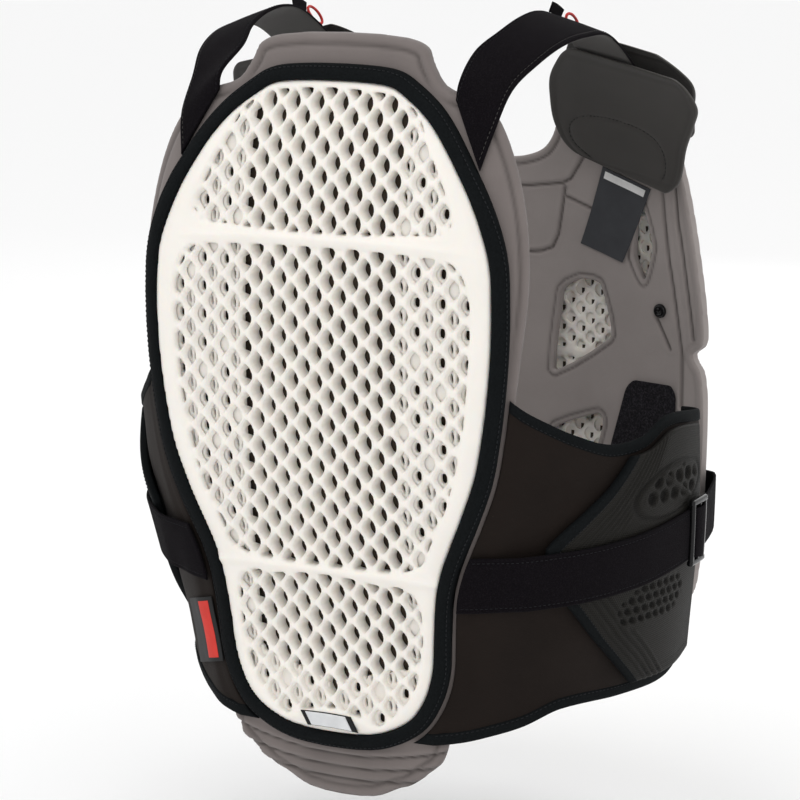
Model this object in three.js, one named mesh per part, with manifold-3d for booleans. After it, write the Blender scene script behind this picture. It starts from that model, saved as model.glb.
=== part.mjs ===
// Chest protector in worn form: a pierced back plate on a foam back, shoulder straps with pads,
// a foam chest panel with a pierced chest plate, and two side wings closed by a waist belt.
// Millimetres, +Z up. The wearer faces -Y, and the wearer's left is +X.
// The origin is midway between the shoulder straps, at the height where they rest on the shoulders.
import * as THREE from "three";
import { mergeVertices } from "three/addons/utils/BufferGeometryUtils.js";
import Module from "manifold-3d";

const wasm = await Module();
wasm.setup();

// Body sizes
const BACK_HEIGHT = 560;
const BACK_DEPTH = 128;
const FRONT_DEPTH = 184;
const TORSO_WIDTH = 420;
const GAP = 0.3;
const SEAT = 0.6;

// Back plate and its rim
const PLATE_HEIGHT = 477;
const PLATE_WIDTH = 274;
const PLATE_TOP = -37;
const LATTICE_THICKNESS = 4.5;
const RIM_THICKNESS = 7;
const RIM_WIDTH = 17;
const CELL_PITCH = 23;
const CELL_HEIGHT = 50;
const CELL_FULLNESS = 0.96;
const STRUT = 5;
const LEAST_EDGE = 0.5;
const BINDING_WIDTH = 11.5;
const BINDING_THICKNESS = 8;

// Foam, cloth and webbing
const FOAM_THICKNESS = 10;
const CHEST_FOAM_THICKNESS = 9;
const WING_THICKNESS = 3;
const WING_EDGE_WIDTH = 8;
const WING_EDGE_STANDS = 1;
const SIDE_PAD_THICKNESS = 5;
const STRAP_THICKNESS = 3;
const BELT_WIDTH = 42;
const BELT_THICKNESS = 2.5;
const PAD_LAYER = 3.5;

// Chest panel and its plate
const CHEST_WIDTH = 356;
const CHEST_TOP = -50;
const CHEST_BOTTOM = -468;
const CHEST_SAG = 35;
const CHEST_PLATE_THICKNESS = 5;

// Buckle
const BUCKLE_HEIGHT = 54;
const BUCKLE_WIDTH = 26;
const BUCKLE_BAR = 4;

// Back sections, from the shoulder line down, as shares of BACK_HEIGHT (down), BACK_DEPTH (depth),
// half of PLATE_WIDTH (flat), half of TORSO_WIDTH (side) and FRONT_DEPTH (corner).
const BACK_SECTIONS = [
  { down: 0.0, depth: 0.742, flat: 0.73, side: 0.88, corner: 0.4 },
  { down: 0.066, depth: 0.793, flat: 0.79, side: 0.93, corner: 0.4 },
  { down: 0.15, depth: 0.906, flat: 0.89, side: 0.99, corner: 0.4 },
  { down: 0.262, depth: 0.977, flat: 0.99, side: 1.0, corner: 0.4 },
  { down: 0.34, depth: 1.0, flat: 1.0, side: 1.0, corner: 0.4 },
  { down: 0.468, depth: 0.996, flat: 0.97, side: 1.0, corner: 0.42 },
  { down: 0.6, depth: 0.96, flat: 0.9, side: 0.99, corner: 0.5 },
  { down: 0.695, depth: 0.906, flat: 0.8, side: 0.95, corner: 0.58 },
  { down: 0.805, depth: 0.848, flat: 0.69, side: 0.895, corner: 0.62 },
  { down: 0.904, depth: 0.836, flat: 0.61, side: 0.855, corner: 0.66 },
  { down: 1.02, depth: 0.805, flat: 0.54, side: 0.82, corner: 0.68 },
];

// The way round the side in plan: shares of the width past the flat back (out) and of the depth
// from the back to the front corner (along).
const SIDE_TURN = [
  { out: 0.19, along: 0.032 },
  { out: 0.35, along: 0.088 },
  { out: 0.5, along: 0.148 },
  { out: 0.645, along: 0.214 },
  { out: 0.76, along: 0.289 },
  { out: 0.87, along: 0.391 },
  { out: 0.95, along: 0.5 },
  { out: 1.0, along: 0.68 },
  { out: 0.97, along: 0.86 },
  { out: 0.89, along: 1.0 },
];

// Chest sections: shares of BACK_HEIGHT (down) and FRONT_DEPTH (depth).
const FRONT_SECTIONS = [
  { down: -0.018, depth: 0.245 },
  { down: 0.036, depth: 0.5 },
  { down: 0.107, depth: 0.728 },
  { down: 0.202, depth: 0.875 },
  { down: 0.286, depth: 0.946 },
  { down: 0.393, depth: 0.989 },
  { down: 0.536, depth: 1.0 },
  { down: 0.714, depth: 0.978 },
  { down: 0.85, depth: 0.951 },
];

// Half outline of the back plate: shares of PLATE_HEIGHT (down) and half of PLATE_WIDTH (half).
const PLATE_OUTLINE = [
  { down: 0.0, half: 0.22 },
  { down: 0.006, half: 0.36 },
  { down: 0.019, half: 0.44 },
  { down: 0.048, half: 0.577 },
  { down: 0.08, half: 0.679 },
  { down: 0.122, half: 0.781 },
  { down: 0.168, half: 0.876 },
  { down: 0.216, half: 0.949 },
  { down: 0.258, half: 0.988 },
  { down: 0.321, half: 1.0 },
  { down: 0.384, half: 0.996 },
  { down: 0.447, half: 0.978 },
  { down: 0.509, half: 0.949 },
  { down: 0.572, half: 0.905 },
  { down: 0.635, half: 0.823 },
  { down: 0.677, half: 0.757 },
  { down: 0.719, half: 0.695 },
  { down: 0.761, half: 0.655 },
  { down: 0.824, half: 0.628 },
  { down: 0.887, half: 0.606 },
  { down: 0.929, half: 0.558 },
  { down: 0.96, half: 0.487 },
  { down: 0.981, half: 0.38 },
  { down: 0.996, half: 0.22 },
];

// The three windows of the plate: shares of PLATE_HEIGHT.
const PLATE_WINDOWS = [
  { top: 0.0, bottom: 0.219 },
  { top: 0.247, bottom: 0.729 },
  { top: 0.749, bottom: 1.0 },
];

// Half outline of the back foam: shares of BACK_HEIGHT (down) and half of PLATE_WIDTH (half);
// swell is the share of FOAM_THICKNESS by which the tail's three steps stand out.
const FOAM_OUTLINE = [
  { down: 0.01, half: 0.37, swell: 0 },
  { down: 0.022, half: 0.5, swell: 0 },
  { down: 0.04, half: 0.535, swell: 0 },
  { down: 0.068, half: 0.62, swell: 0 },
  { down: 0.086, half: 0.84, swell: 0 },
  { down: 0.112, half: 0.965, swell: 0 },
  { down: 0.16, half: 1.075, swell: 0 },
  { down: 0.23, half: 1.16, swell: 0 },
  { down: 0.31, half: 1.19, swell: 0 },
  { down: 0.4, half: 1.15, swell: 0 },
  { down: 0.48, half: 1.1, swell: 0 },
  { down: 0.6, half: 0.99, swell: 0 },
  { down: 0.75, half: 0.78, swell: 0 },
  { down: 0.88, half: 0.69, swell: 0 },
  { down: 0.92, half: 0.67, swell: 0 },
  { down: 0.943, half: 0.635, swell: 0 },
  { down: 0.95, half: 0.61, swell: 0.3 },
  { down: 0.964, half: 0.53, swell: 0.1 },
  { down: 0.969, half: 0.51, swell: -0.05 },
  { down: 0.984, half: 0.42, swell: -0.15 },
  { down: 0.989, half: 0.36, swell: -0.3 },
  { down: 1.006, half: 0.2, swell: -0.45 },
];

// Wing edges: shares of PLATE_WIDTH (round, measured round the body) and BACK_HEIGHT (down).
const WING_TOP = [
  { round: 0.5, down: 0.432 },
  { round: 0.57, down: 0.462 },
  { round: 0.64, down: 0.482 },
  { round: 0.72, down: 0.501 },
  { round: 0.82, down: 0.517 },
  { round: 0.94, down: 0.514 },
  { round: 1.05, down: 0.495 },
  { round: 1.2, down: 0.5 },
  { round: 1.6, down: 0.53 },
];
const WING_HEM = [
  { round: 0.3, down: 0.918 },
  { round: 0.4, down: 0.91 },
  { round: 0.53, down: 0.896 },
  { round: 0.64, down: 0.876 },
  { round: 0.83, down: 0.874 },
  { round: 1.1, down: 0.876 },
  { round: 1.25, down: 0.862 },
  { round: 1.6, down: 0.82 },
];
const WING_END = 1.56;

// Side pad: its rear edge is a pointed fold, given as shares like the wing's.
const SIDE_PAD_REAR = [
  { round: 0.88, down: 0.53 },
  { round: 0.76, down: 0.6 },
  { round: 0.62, down: 0.66 },
  { round: 0.61, down: 0.71 },
  { round: 0.7, down: 0.78 },
  { round: 0.87, down: 0.855 },
];
const SIDE_PAD_END = 1.22;

// Belt centre line: shares of PLATE_WIDTH (round) and BACK_HEIGHT (down).
const BELT_LINE = [
  { round: 0.3, down: 0.698 },
  { round: 0.6, down: 0.69 },
  { round: 0.85, down: 0.68 },
  { round: 1.05, down: 0.668 },
  { round: 1.4, down: 0.65 },
];
const BELT_END = 1.2;

// Half outline of the chest foam: shares of the panel's height (down) and half of CHEST_WIDTH.
const CHEST_SIDE = [
  { down: 0.0, half: 0.82 },
  { down: 0.06, half: 0.89 },
  { down: 0.15, half: 0.92 },
  { down: 0.31, half: 0.965 },
  { down: 0.45, half: 1.0 },
  { down: 0.485, half: 0.985 },
  { down: 0.5, half: 0.925 },
  { down: 0.52, half: 0.975 },
  { down: 0.58, half: 1.0 },
  { down: 0.72, half: 1.0 },
  { down: 0.9, half: 0.985 },
  { down: 0.96, half: 0.94 },
  { down: 1.0, half: 0.82 },
];
// Top edge of the chest foam, from the neckline to the shoulder lobe: shares of half of
// CHEST_WIDTH (out) and of BACK_HEIGHT (down).
const CHEST_NECKLINE = [
  { out: 0.0, down: 0.203 },
  { out: 0.1, down: 0.2 },
  { out: 0.22, down: 0.188 },
  { out: 0.29, down: 0.168 },
  { out: 0.36, down: 0.135 },
  { out: 0.45, down: 0.105 },
  { out: 0.6, down: 0.092 },
  { out: 0.8, down: 0.1 },
  { out: 0.92, down: 0.125 },
  { out: 1.0, down: 0.18 },
];
const CHEST_FOOT = [
  { out: 0.0, down: 0.79 },
  { out: 0.4, down: 0.805 },
  { out: 0.8, down: 0.83 },
  { out: 1.0, down: 0.825 },
];

// Chest vents on one side: shares of half of CHEST_WIDTH (out) and of BACK_HEIGHT (down).
const CHEST_VENTS = [
  [
    { out: 0.175, down: 0.518 },
    { out: 0.235, down: 0.388 },
    { out: 0.34, down: 0.372 },
    { out: 0.44, down: 0.374 },
    { out: 0.51, down: 0.452 },
  ],
  [
    { out: 0.19, down: 0.59 },
    { out: 0.44, down: 0.562 },
    { out: 0.46, down: 0.575 },
    { out: 0.4, down: 0.645 },
    { out: 0.21, down: 0.665 },
  ],
  [
    { out: 0.685, down: 0.25 },
    { out: 0.735, down: 0.316 },
    { out: 0.675, down: 0.37 },
    { out: 0.62, down: 0.335 },
    { out: 0.64, down: 0.285 },
  ],
];

// Half outline of the chest plate: half its width as a share of half of CHEST_WIDTH (half), and its
// top and foot by the share of the way across (across), all down as shares of BACK_HEIGHT.
const CHEST_PLATE_SIDE = [
  { down: 0.19, half: 0.78 },
  { down: 0.22, half: 0.82 },
  { down: 0.32, half: 0.86 },
  { down: 0.42, half: 0.85 },
  { down: 0.5, half: 0.76 },
  { down: 0.57, half: 0.67 },
  { down: 0.66, half: 0.62 },
  { down: 0.73, half: 0.54 },
  { down: 0.77, half: 0.42 },
];
const CHEST_PLATE_TOP = [
  { across: 0.0, down: 0.235 },
  { across: 0.3, down: 0.225 },
  { across: 0.5, down: 0.202 },
  { across: 0.75, down: 0.19 },
  { across: 1.0, down: 0.22 },
];
const CHEST_PLATE_FOOT = [
  { across: 0.0, down: 0.765 },
  { across: 0.6, down: 0.762 },
  { across: 1.0, down: 0.74 },
];
const CHEST_PLATE_WINDOWS = [
  { top: 0.262, bottom: 0.47 },
  { top: 0.495, bottom: 0.733 },
];

// Shoulder strap rows over the shoulder: both edges, as shares of half of TORSO_WIDTH (neck, outer),
// BACK_DEPTH (neckBack, outerBack) and BACK_HEIGHT (neckUp, outerUp).
const SHOULDER_ROWS = [
  { neck: 0.455, neckBack: 0.56, neckUp: -0.026, outer: 0.63, outerBack: 0.66, outerUp: -0.07 },
  { neck: 0.485, neckBack: 0.38, neckUp: -0.004, outer: 0.67, outerBack: 0.48, outerUp: -0.04 },
  { neck: 0.497, neckBack: 0.18, neckUp: 0.011, outer: 0.695, outerBack: 0.26, outerUp: -0.02 },
  { neck: 0.5, neckBack: -0.03, neckUp: 0.017, outer: 0.71, outerBack: 0.02, outerUp: -0.012 },
  { neck: 0.5, neckBack: -0.22, neckUp: 0.01, outer: 0.715, outerBack: -0.26, outerUp: -0.014 },
];
// Where the strap lies on the back foam and inside the shoulder pad: shares of half of TORSO_WIDTH
// (neck, outer) and BACK_HEIGHT (neckDown, outerDown).
const STRAP_ON_BACK = [
  { neck: 0.463, neckDown: 0.083, outer: 0.582, outerDown: 0.168 },
  { neck: 0.465, neckDown: 0.06, outer: 0.612, outerDown: 0.118 },
];
const STRAP_IN_PAD = [
  { neck: 0.5, neckDown: 0.045, outer: 0.72, outerDown: 0.055 },
  { neck: 0.502, neckDown: 0.073, outer: 0.722, outerDown: 0.083 },
  { neck: 0.506, neckDown: 0.1, outer: 0.726, outerDown: 0.11 },
  { neck: 0.51, neckDown: 0.13, outer: 0.73, outerDown: 0.14 },
  { neck: 0.52, neckDown: 0.165, outer: 0.738, outerDown: 0.173 },
  { neck: 0.54, neckDown: 0.2, outer: 0.75, outerDown: 0.206 },
  { neck: 0.56, neckDown: 0.235, outer: 0.765, outerDown: 0.24 },
];

// Shoulder pad layers: shares of half of CHEST_WIDTH (inner, outer) and BACK_HEIGHT (down).
const FLAP_ROWS = [
  { down: 0.033, inner: 0.56, outer: 1.02, drop: 0.04 },
  { down: 0.075, inner: 0.4, outer: 1.14, drop: 0.035 },
  { down: 0.11, inner: 0.345, outer: 1.1, drop: 0.025 },
  { down: 0.15, inner: 0.335, outer: 1.03, drop: 0.02 },
  { down: 0.185, inner: 0.4, outer: 0.97, drop: 0.03 },
  { down: 0.205, inner: 0.56, outer: 0.9, drop: 0.032 },
];
const COVER_ROWS = [
  { down: 0.012, inner: 0.56, outer: 0.94, drop: 0.03 },
  { down: 0.05, inner: 0.44, outer: 1.04, drop: 0.03 },
  { down: 0.1, inner: 0.4, outer: 1.0, drop: 0.02 },
  { down: 0.15, inner: 0.42, outer: 0.97, drop: 0.01 },
];

const COLOURS = {
  plate: { color: 0xece8e4, roughness: 0.45, metalness: 0 },
  foam: { color: 0x78706d, roughness: 0.95, metalness: 0 },
  binding: { color: 0x15171a, roughness: 0.9, metalness: 0 },
  webbing: { color: 0x17131a, roughness: 0.95, metalness: 0 },
  wing: { color: 0x241c1a, roughness: 0.9, metalness: 0 },
  pad: { color: 0x2a2826, roughness: 0.8, metalness: 0 },
  buckle: { color: 0x0c0c0d, roughness: 0.25, metalness: 0 },
  cord: { color: 0xd0382c, roughness: 0.7, metalness: 0 },
  label: { color: 0x55585c, roughness: 0.8, metalness: 0 },
};

const mix = (a, b, t) => a + (b - a) * t;

// Smooth reading of one column of a table, by its key column.
function read(rows, key, at, column) {
  const last = rows.length - 1;
  if (at <= rows[0][key]) return rows[0][column];
  if (at >= rows[last][key]) return rows[last][column];
  let i = 0;
  while (rows[i + 1][key] < at) i += 1;
  const slope = (a, b) => (rows[b][column] - rows[a][column]) / (rows[b][key] - rows[a][key]);
  const width = rows[i + 1][key] - rows[i][key];
  const start = slope(Math.max(i - 1, 0), i + 1) * width;
  const end = slope(i, Math.min(i + 2, last)) * width;
  const t = (at - rows[i][key]) / width;
  const rise = rows[i + 1][column] - rows[i][column];
  const bend = (start - rise) * (1 - t) - (end - rise) * t;
  return rows[i][column] + rise * t + t * (1 - t) * bend;
}

// Straight reading of a column, for steps that must not overshoot.
function readStraight(rows, key, at, column) {
  let i = 0;
  while (i < rows.length - 2 && rows[i + 1][key] < at) i += 1;
  const t = (at - rows[i][key]) / (rows[i + 1][key] - rows[i][key]);
  return mix(rows[i][column], rows[i + 1][column], THREE.MathUtils.clamp(t, 0, 1));
}

const downOf = (z) => -z / BACK_HEIGHT;
const heightAt = (share) => -share * BACK_HEIGHT;
const chestHalf = CHEST_WIDTH / 2;

// A point on the chest: x across, height z, and d out from the foam's inner face.
function frontPoint(x, z, d) {
  const depth = FRONT_DEPTH * read(FRONT_SECTIONS, "down", downOf(z), "depth");
  const reach = Math.abs(x) / chestHalf;
  const curve = reach < 1 ? reach * reach : 2 * reach - 1;
  const tilt = (2 * Math.min(reach, 1) * CHEST_SAG) / chestHalf;
  const long = Math.hypot(tilt, 1);
  const side = Math.sign(x) || 1;
  return new THREE.Vector3(
    x + (side * tilt * d) / long,
    -depth + CHEST_SAG * curve - d / long,
    z,
  );
}

// The half section of the back and side at height z, in plan, with the length along it.
const sectionStore = new Map();
const FLAT_SAG = 0.044;
const END_OFFSET = WING_THICKNESS + WING_EDGE_STANDS + 3 * SEAT;
function backSection(z) {
  const name = z.toFixed(1);
  if (sectionStore.has(name)) return sectionStore.get(name);
  const at = downOf(z);
  const rear = BACK_DEPTH * read(BACK_SECTIONS, "down", at, "depth");
  const flat = (PLATE_WIDTH / 2) * read(BACK_SECTIONS, "down", at, "flat");
  const side = (TORSO_WIDTH / 2) * read(BACK_SECTIONS, "down", at, "side");
  const corner = -FRONT_DEPTH * read(BACK_SECTIONS, "down", at, "corner");
  const edge = rear - FLAT_SAG * flat;
  const knots = [-0.4, 0, 0.4, 0.75, 0.93, 1].map((share) => (
    [share * flat, rear - FLAT_SAG * flat * share * share]
  ));
  for (const row of SIDE_TURN) {
    knots.push([flat + (side - flat) * row.out, edge - (edge - corner) * row.along]);
  }
  for (const share of [0.84, 0.72, 0.6]) {
    const seat = frontPoint(chestHalf * share, z, -END_OFFSET);
    knots.push([seat.x, seat.y]);
  }
  const line = new THREE.CatmullRomCurve3(
    knots.map(([x, y]) => new THREE.Vector3(x, y, 0)),
    false,
    "centripetal",
  );
  const steps = (knots.length - 1) * 8;
  const points = line.getPoints(steps).slice(8);
  const lengths = [0];
  for (let i = 1; i < points.length; i += 1) {
    lengths.push(lengths[i - 1] + points[i].distanceTo(points[i - 1]));
  }
  const section = { points, lengths };
  sectionStore.set(name, section);
  return section;
}

function alongSection(section, s) {
  const { points, lengths } = section;
  let i = 1;
  while (i < points.length - 1 && lengths[i] < s) i += 1;
  const t = (s - lengths[i - 1]) / (lengths[i] - lengths[i - 1]);
  return new THREE.Vector3().lerpVectors(points[i - 1], points[i], t);
}

// A point on the back: s round the body from the spine, height z, and d out from the foam.
const NORMAL_STEP = 4;
function backPoint(s, z, d) {
  const section = backSection(z);
  const length = Math.abs(s);
  const side = Math.sign(s) || 1;
  const point = alongSection(section, length);
  const ahead = alongSection(section, length + NORMAL_STEP);
  const behind = length > NORMAL_STEP
    ? alongSection(section, length - NORMAL_STEP)
    : alongSection(section, 0).setX(length - NORMAL_STEP);
  const way = ahead.sub(behind).normalize();
  return new THREE.Vector3(side * (point.x - way.y * d), point.y + way.x * d, z);
}

// Merge the corners of a closed mesh and turn its faces outwards.
function closed(source) {
  const bare = source.clone();
  bare.deleteAttribute("normal");
  bare.deleteAttribute("uv");
  bare.clearGroups();
  const geometry = mergeVertices(bare, 1e-3);
  const spots = geometry.attributes.position;
  const index = geometry.index.array;
  const a = new THREE.Vector3();
  const b = new THREE.Vector3();
  const c = new THREE.Vector3();
  const kept = [];
  let volume = 0;
  for (let i = 0; i < index.length; i += 3) {
    const [p, q, r] = [index[i], index[i + 1], index[i + 2]];
    if (p === q || q === r || r === p) continue;
    kept.push(p, q, r);
    a.fromBufferAttribute(spots, p);
    b.fromBufferAttribute(spots, q);
    c.fromBufferAttribute(spots, r);
    volume += a.dot(b.cross(c));
  }
  if (volume < 0) {
    for (let i = 0; i < kept.length; i += 3) {
      [kept[i], kept[i + 1]] = [kept[i + 1], kept[i]];
    }
  }
  geometry.setIndex(kept);
  return geometry;
}

function toSolid(source) {
  const geometry = closed(source);
  return new wasm.Manifold(new wasm.Mesh({
    numProp: 3,
    vertProperties: new Float32Array(geometry.attributes.position.array),
    triVerts: new Uint32Array(geometry.index.array),
  }));
}

function fromSolid(solid) {
  const mesh = solid.getMesh();
  const geometry = new THREE.BufferGeometry();
  geometry.setAttribute("position", new THREE.BufferAttribute(new Float32Array(mesh.vertProperties), 3));
  geometry.setIndex(Array.from(mesh.triVerts));
  return geometry;
}

// Split every edge longer than a limit, so that a flat plate can be bent without long chords.
function refine(source, longest) {
  const spots = Array.from(source.attributes.position.array);
  let faces = Array.from(source.index.array);
  const spot = (i) => new THREE.Vector3(spots[3 * i], spots[3 * i + 1], spots[3 * i + 2]);
  let split = true;
  while (split) {
    split = false;
    const middles = new Map();
    const middle = (a, b) => {
      const name = a < b ? `${a} ${b}` : `${b} ${a}`;
      if (!middles.has(name)) {
        const long = spot(a).distanceTo(spot(b)) > longest;
        if (long) spots.push(...spot(a).lerp(spot(b), 0.5).toArray());
        middles.set(name, long ? spots.length / 3 - 1 : -1);
      }
      return middles.get(name);
    };
    const next = [];
    for (let i = 0; i < faces.length; i += 3) {
      let [a, b, c] = [faces[i], faces[i + 1], faces[i + 2]];
      let [ab, bc, ca] = [middle(a, b), middle(b, c), middle(c, a)];
      const count = [ab, bc, ca].filter((m) => m >= 0).length;
      const turned = () => (count === 1 ? ab >= 0 : ca < 0);
      while (count > 0 && count < 3 && !turned()) {
        [a, b, c, ab, bc, ca] = [b, c, a, bc, ca, ab];
      }
      if (count === 0) next.push(a, b, c);
      if (count === 1) next.push(a, ab, c, ab, b, c);
      if (count === 2) next.push(ab, b, bc, a, ab, bc, a, bc, c);
      if (count === 3) next.push(a, ab, ca, ab, b, bc, ca, bc, c, ab, bc, ca);
      if (count > 0) split = true;
    }
    faces = next;
  }
  const fine = new THREE.BufferGeometry();
  fine.setAttribute("position", new THREE.BufferAttribute(new Float32Array(spots), 3));
  fine.setIndex(faces);
  return fine;
}

// Move every corner of a geometry by a rule from (x, y, z) to a place on the body.
function bend(geometry, place) {
  const bent = geometry.clone();
  const spots = bent.attributes.position;
  for (let i = 0; i < spots.count; i += 1) {
    const to = place(spots.getX(i), spots.getY(i), spots.getZ(i));
    spots.setXYZ(i, to.x, to.y, to.z);
  }
  return closed(bent);
}

// A closed sheet of columns by rows: place gets u across, v down and w from inner to outer face.
function sheet(columns, rows, place) {
  const block = new THREE.BoxGeometry(1, 1, 1, columns, rows, 1);
  return bend(block, (x, y, z) => place(x + 0.5, 0.5 - y, z + 0.5));
}

const group = new THREE.Group();
function add(name, geometry, look) {
  const material = new THREE.MeshStandardMaterial(COLOURS[look]);
  geometry.computeVertexNormals();
  const mesh = new THREE.Mesh(geometry, material);
  mesh.name = name;
  group.add(mesh);
  return mesh;
}

// Both sides of a piece that comes as a pair.
const SIDES = [
  { side: 1, word: "left" },
  { side: -1, word: "right" },
];

// Back plate outline in the flat: x round the body, y up
const plateHeightAt = (share) => PLATE_TOP - share * PLATE_HEIGHT;
const plateShare = (z) => (PLATE_TOP - z) / PLATE_HEIGHT;
const plateHalf = (z) => (PLATE_WIDTH / 2) * read(PLATE_OUTLINE, "down", plateShare(z), "half");

function plateEdge(offset) {
  const right = PLATE_OUTLINE.map((row) => new THREE.Vector2(
    (row.half * PLATE_WIDTH) / 2,
    plateHeightAt(row.down),
  ));
  const ring = right.concat(right.slice().reverse().map((p) => new THREE.Vector2(-p.x, p.y)));
  const count = ring.length;
  return ring.map((p, i) => {
    const way = ring[(i + 1) % count].clone().sub(ring[(i + count - 1) % count]).normalize();
    return new THREE.Vector2(p.x - way.y * offset, p.y + way.x * offset);
  });
}

function flatSlab(outline, holes, thickness, lift = 0) {
  const clockwise = THREE.ShapeUtils.isClockWise(outline);
  const shape = new THREE.Shape(clockwise ? outline.slice().reverse() : outline);
  for (const hole of holes) shape.holes.push(new THREE.Path(hole));
  const slab = new THREE.ExtrudeGeometry(shape, { depth: thickness, bevelEnabled: false });
  slab.translate(0, 0, lift);
  return slab;
}

// Cut a polygon back to one side of a line.
function clip(polygon, point, normal) {
  const kept = [];
  polygon.forEach((from, i) => {
    const to = polygon[(i + 1) % polygon.length];
    const a = from.clone().sub(point).dot(normal);
    const b = to.clone().sub(point).dot(normal);
    if (a <= 0) kept.push(from);
    if (a * b < 0) kept.push(from.clone().lerp(to, a / (a - b)));
  });
  return kept;
}

// One almond-shaped cell of the lattice.
function cellOutline(x, y, width, height) {
  const corners = [[0, 1], [0.84, 0.3], [0.84, -0.3], [0, -1], [-0.84, -0.3], [-0.84, 0.3]];
  return corners.map(([u, v]) => new THREE.Vector2(x + (u * width) / 2, y + (v * height) / 2));
}

// The part of a window's outline that lies inside one cell.
function cellInWindow(cell, outline) {
  let piece = outline;
  cell.forEach((from, i) => {
    const way = cell[(i + 1) % cell.length].clone().sub(from);
    piece = clip(piece, from, new THREE.Vector2(-way.y, way.x));
  });
  return piece.filter((p, i) => p.distanceTo(piece[(i + 1) % piece.length]) > LEAST_EDGE);
}

// Cells in staggered columns over a window, each cut back where it meets the window's edge.
function latticeCells({ outline, reach, top, bottom, pitch, height, smallest }) {
  const cells = [];
  const columns = Math.ceil(reach / pitch);
  const rows = Math.ceil((top - bottom) / height);
  const middle = (top + bottom) / 2;
  for (let i = -columns; i <= columns; i += 1) {
    for (let j = -rows; j <= rows; j += 1) {
      const y = middle + (j + (i % 2 ? 0.5 : 0)) * height;
      const whole = cellOutline(i * pitch, y, 2 * (pitch - STRUT) * CELL_FULLNESS, height - STRUT);
      const cell = cellInWindow(whole, outline);
      if (cell.length < 3) continue;
      if (Math.abs(THREE.ShapeUtils.area(cell)) > smallest) cells.push(cell);
    }
  }
  return cells;
}

// A solid with prisms over these outlines cut out of it, from one depth to another.
function cutThrough(solid, outlines, place, from, to) {
  const cutters = outlines.map((outline) => toSolid(bend(flatSlab(outline, [], to - from, from), place)));
  return solid.subtract(wasm.Manifold.union(cutters));
}

function windowHalf(z) {
  return plateHalf(z) - RIM_WIDTH;
}

// The pierced plate: a thin lattice with a thicker rim and two thicker crossbars.
const WINDOW_STEPS = { down: 12, across: 9 };
function windowRing(top, bottom, halfAt) {
  const ring = [];
  const { down, across } = WINDOW_STEPS;
  for (let i = 0; i < across; i += 1) {
    ring.push(new THREE.Vector2(halfAt(top) * mix(-1, 1, i / across), top));
  }
  for (let i = 0; i < down; i += 1) {
    const z = mix(top, bottom, i / down);
    ring.push(new THREE.Vector2(halfAt(z), z));
  }
  return ring.concat(ring.map((p) => {
    const z = top + bottom - p.y;
    const share = p.x / halfAt(p.y);
    return new THREE.Vector2(-share * halfAt(z), z);
  }));
}

function plateWindow(window) {
  const top = Math.min(plateHeightAt(window.top), PLATE_TOP - RIM_WIDTH / 2);
  const bottom = Math.max(plateHeightAt(window.bottom), PLATE_TOP - PLATE_HEIGHT + RIM_WIDTH);
  return { top, bottom, outline: windowRing(top, bottom, windowHalf) };
}

const CUT_PAST = 3;
const LONGEST_EDGE = 64;
const flatPlace = (x, y, z) => new THREE.Vector3(x, y, z);
function makeBackPlate() {
  const windows = PLATE_WINDOWS.map(plateWindow);
  const cells = windows.flatMap(({ top, bottom, outline }) => latticeCells({
    outline,
    reach: PLATE_WIDTH / 2,
    top,
    bottom,
    pitch: CELL_PITCH,
    height: CELL_HEIGHT,
    smallest: (CELL_PITCH * CELL_HEIGHT) / 8,
  }));
  const edge = plateEdge(0);
  const thin = toSolid(flatSlab(edge, [], LATTICE_THICKNESS));
  const lattice = cutThrough(thin, cells, flatPlace, -CUT_PAST, LATTICE_THICKNESS + CUT_PAST);
  const thick = toSolid(flatSlab(edge, [], RIM_THICKNESS));
  const openings = windows.map((window) => window.outline);
  const rim = cutThrough(thick, openings, flatPlace, -CUT_PAST, RIM_THICKNESS + CUT_PAST);
  const flat = refine(fromSolid(lattice.add(rim)), LONGEST_EDGE);
  return bend(flat, (x, y, z) => backPoint(x, y, SEAT + GAP + z));
}

add("back_plate", makeBackPlate(), "plate");

// Binding round the plate: its section, rounded on top, carried round the plate's edge.
const BINDING_SECTION = [
  { out: 0, up: 0 },
  { out: 0, up: 0.85 },
  { out: 0.25, up: 1 },
  { out: 0.7, up: 0.95 },
  { out: 1, up: 0.55 },
  { out: 1, up: 0 },
];
function makeBackBinding() {
  const rings = BINDING_SECTION.map((row) => plateEdge(GAP + row.out * BINDING_WIDTH));
  const corners = BINDING_SECTION.length;
  const count = rings[0].length;
  const loop = new THREE.TorusGeometry(1, 0.5, corners, count);
  const spots = loop.attributes.position;
  for (let i = 0; i < spots.count; i += 1) {
    const corner = Math.floor(i / (count + 1)) % corners;
    const at = rings[corner][(i % (count + 1)) % count];
    const to = backPoint(at.x, at.y, SEAT + GAP + BINDING_SECTION[corner].up * BINDING_THICKNESS);
    spots.setXYZ(i, to.x, to.y, to.z);
  }
  return closed(loop);
}

add("back_binding", makeBackBinding(), "binding");

// Small bare badge on the plate's foot
const BADGE = { width: 42, height: 11, lean: 6, thickness: 1.5, up: 10 };
function makeBadge() {
  const low = PLATE_TOP - PLATE_HEIGHT + BADGE.up - BADGE.height / 2;
  const high = low + BADGE.height;
  const half = BADGE.width / 2;
  const outline = [
    new THREE.Vector2(-half - BADGE.lean / 2, low),
    new THREE.Vector2(half - BADGE.lean / 2, low),
    new THREE.Vector2(half + BADGE.lean / 2, high),
    new THREE.Vector2(-half + BADGE.lean / 2, high),
  ];
  const slab = flatSlab(outline, [], BADGE.thickness);
  return bend(slab, (x, y, z) => backPoint(x, y, 2 * SEAT + RIM_THICKNESS + z));
}

add("back_badge", makeBadge(), "label");

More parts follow.
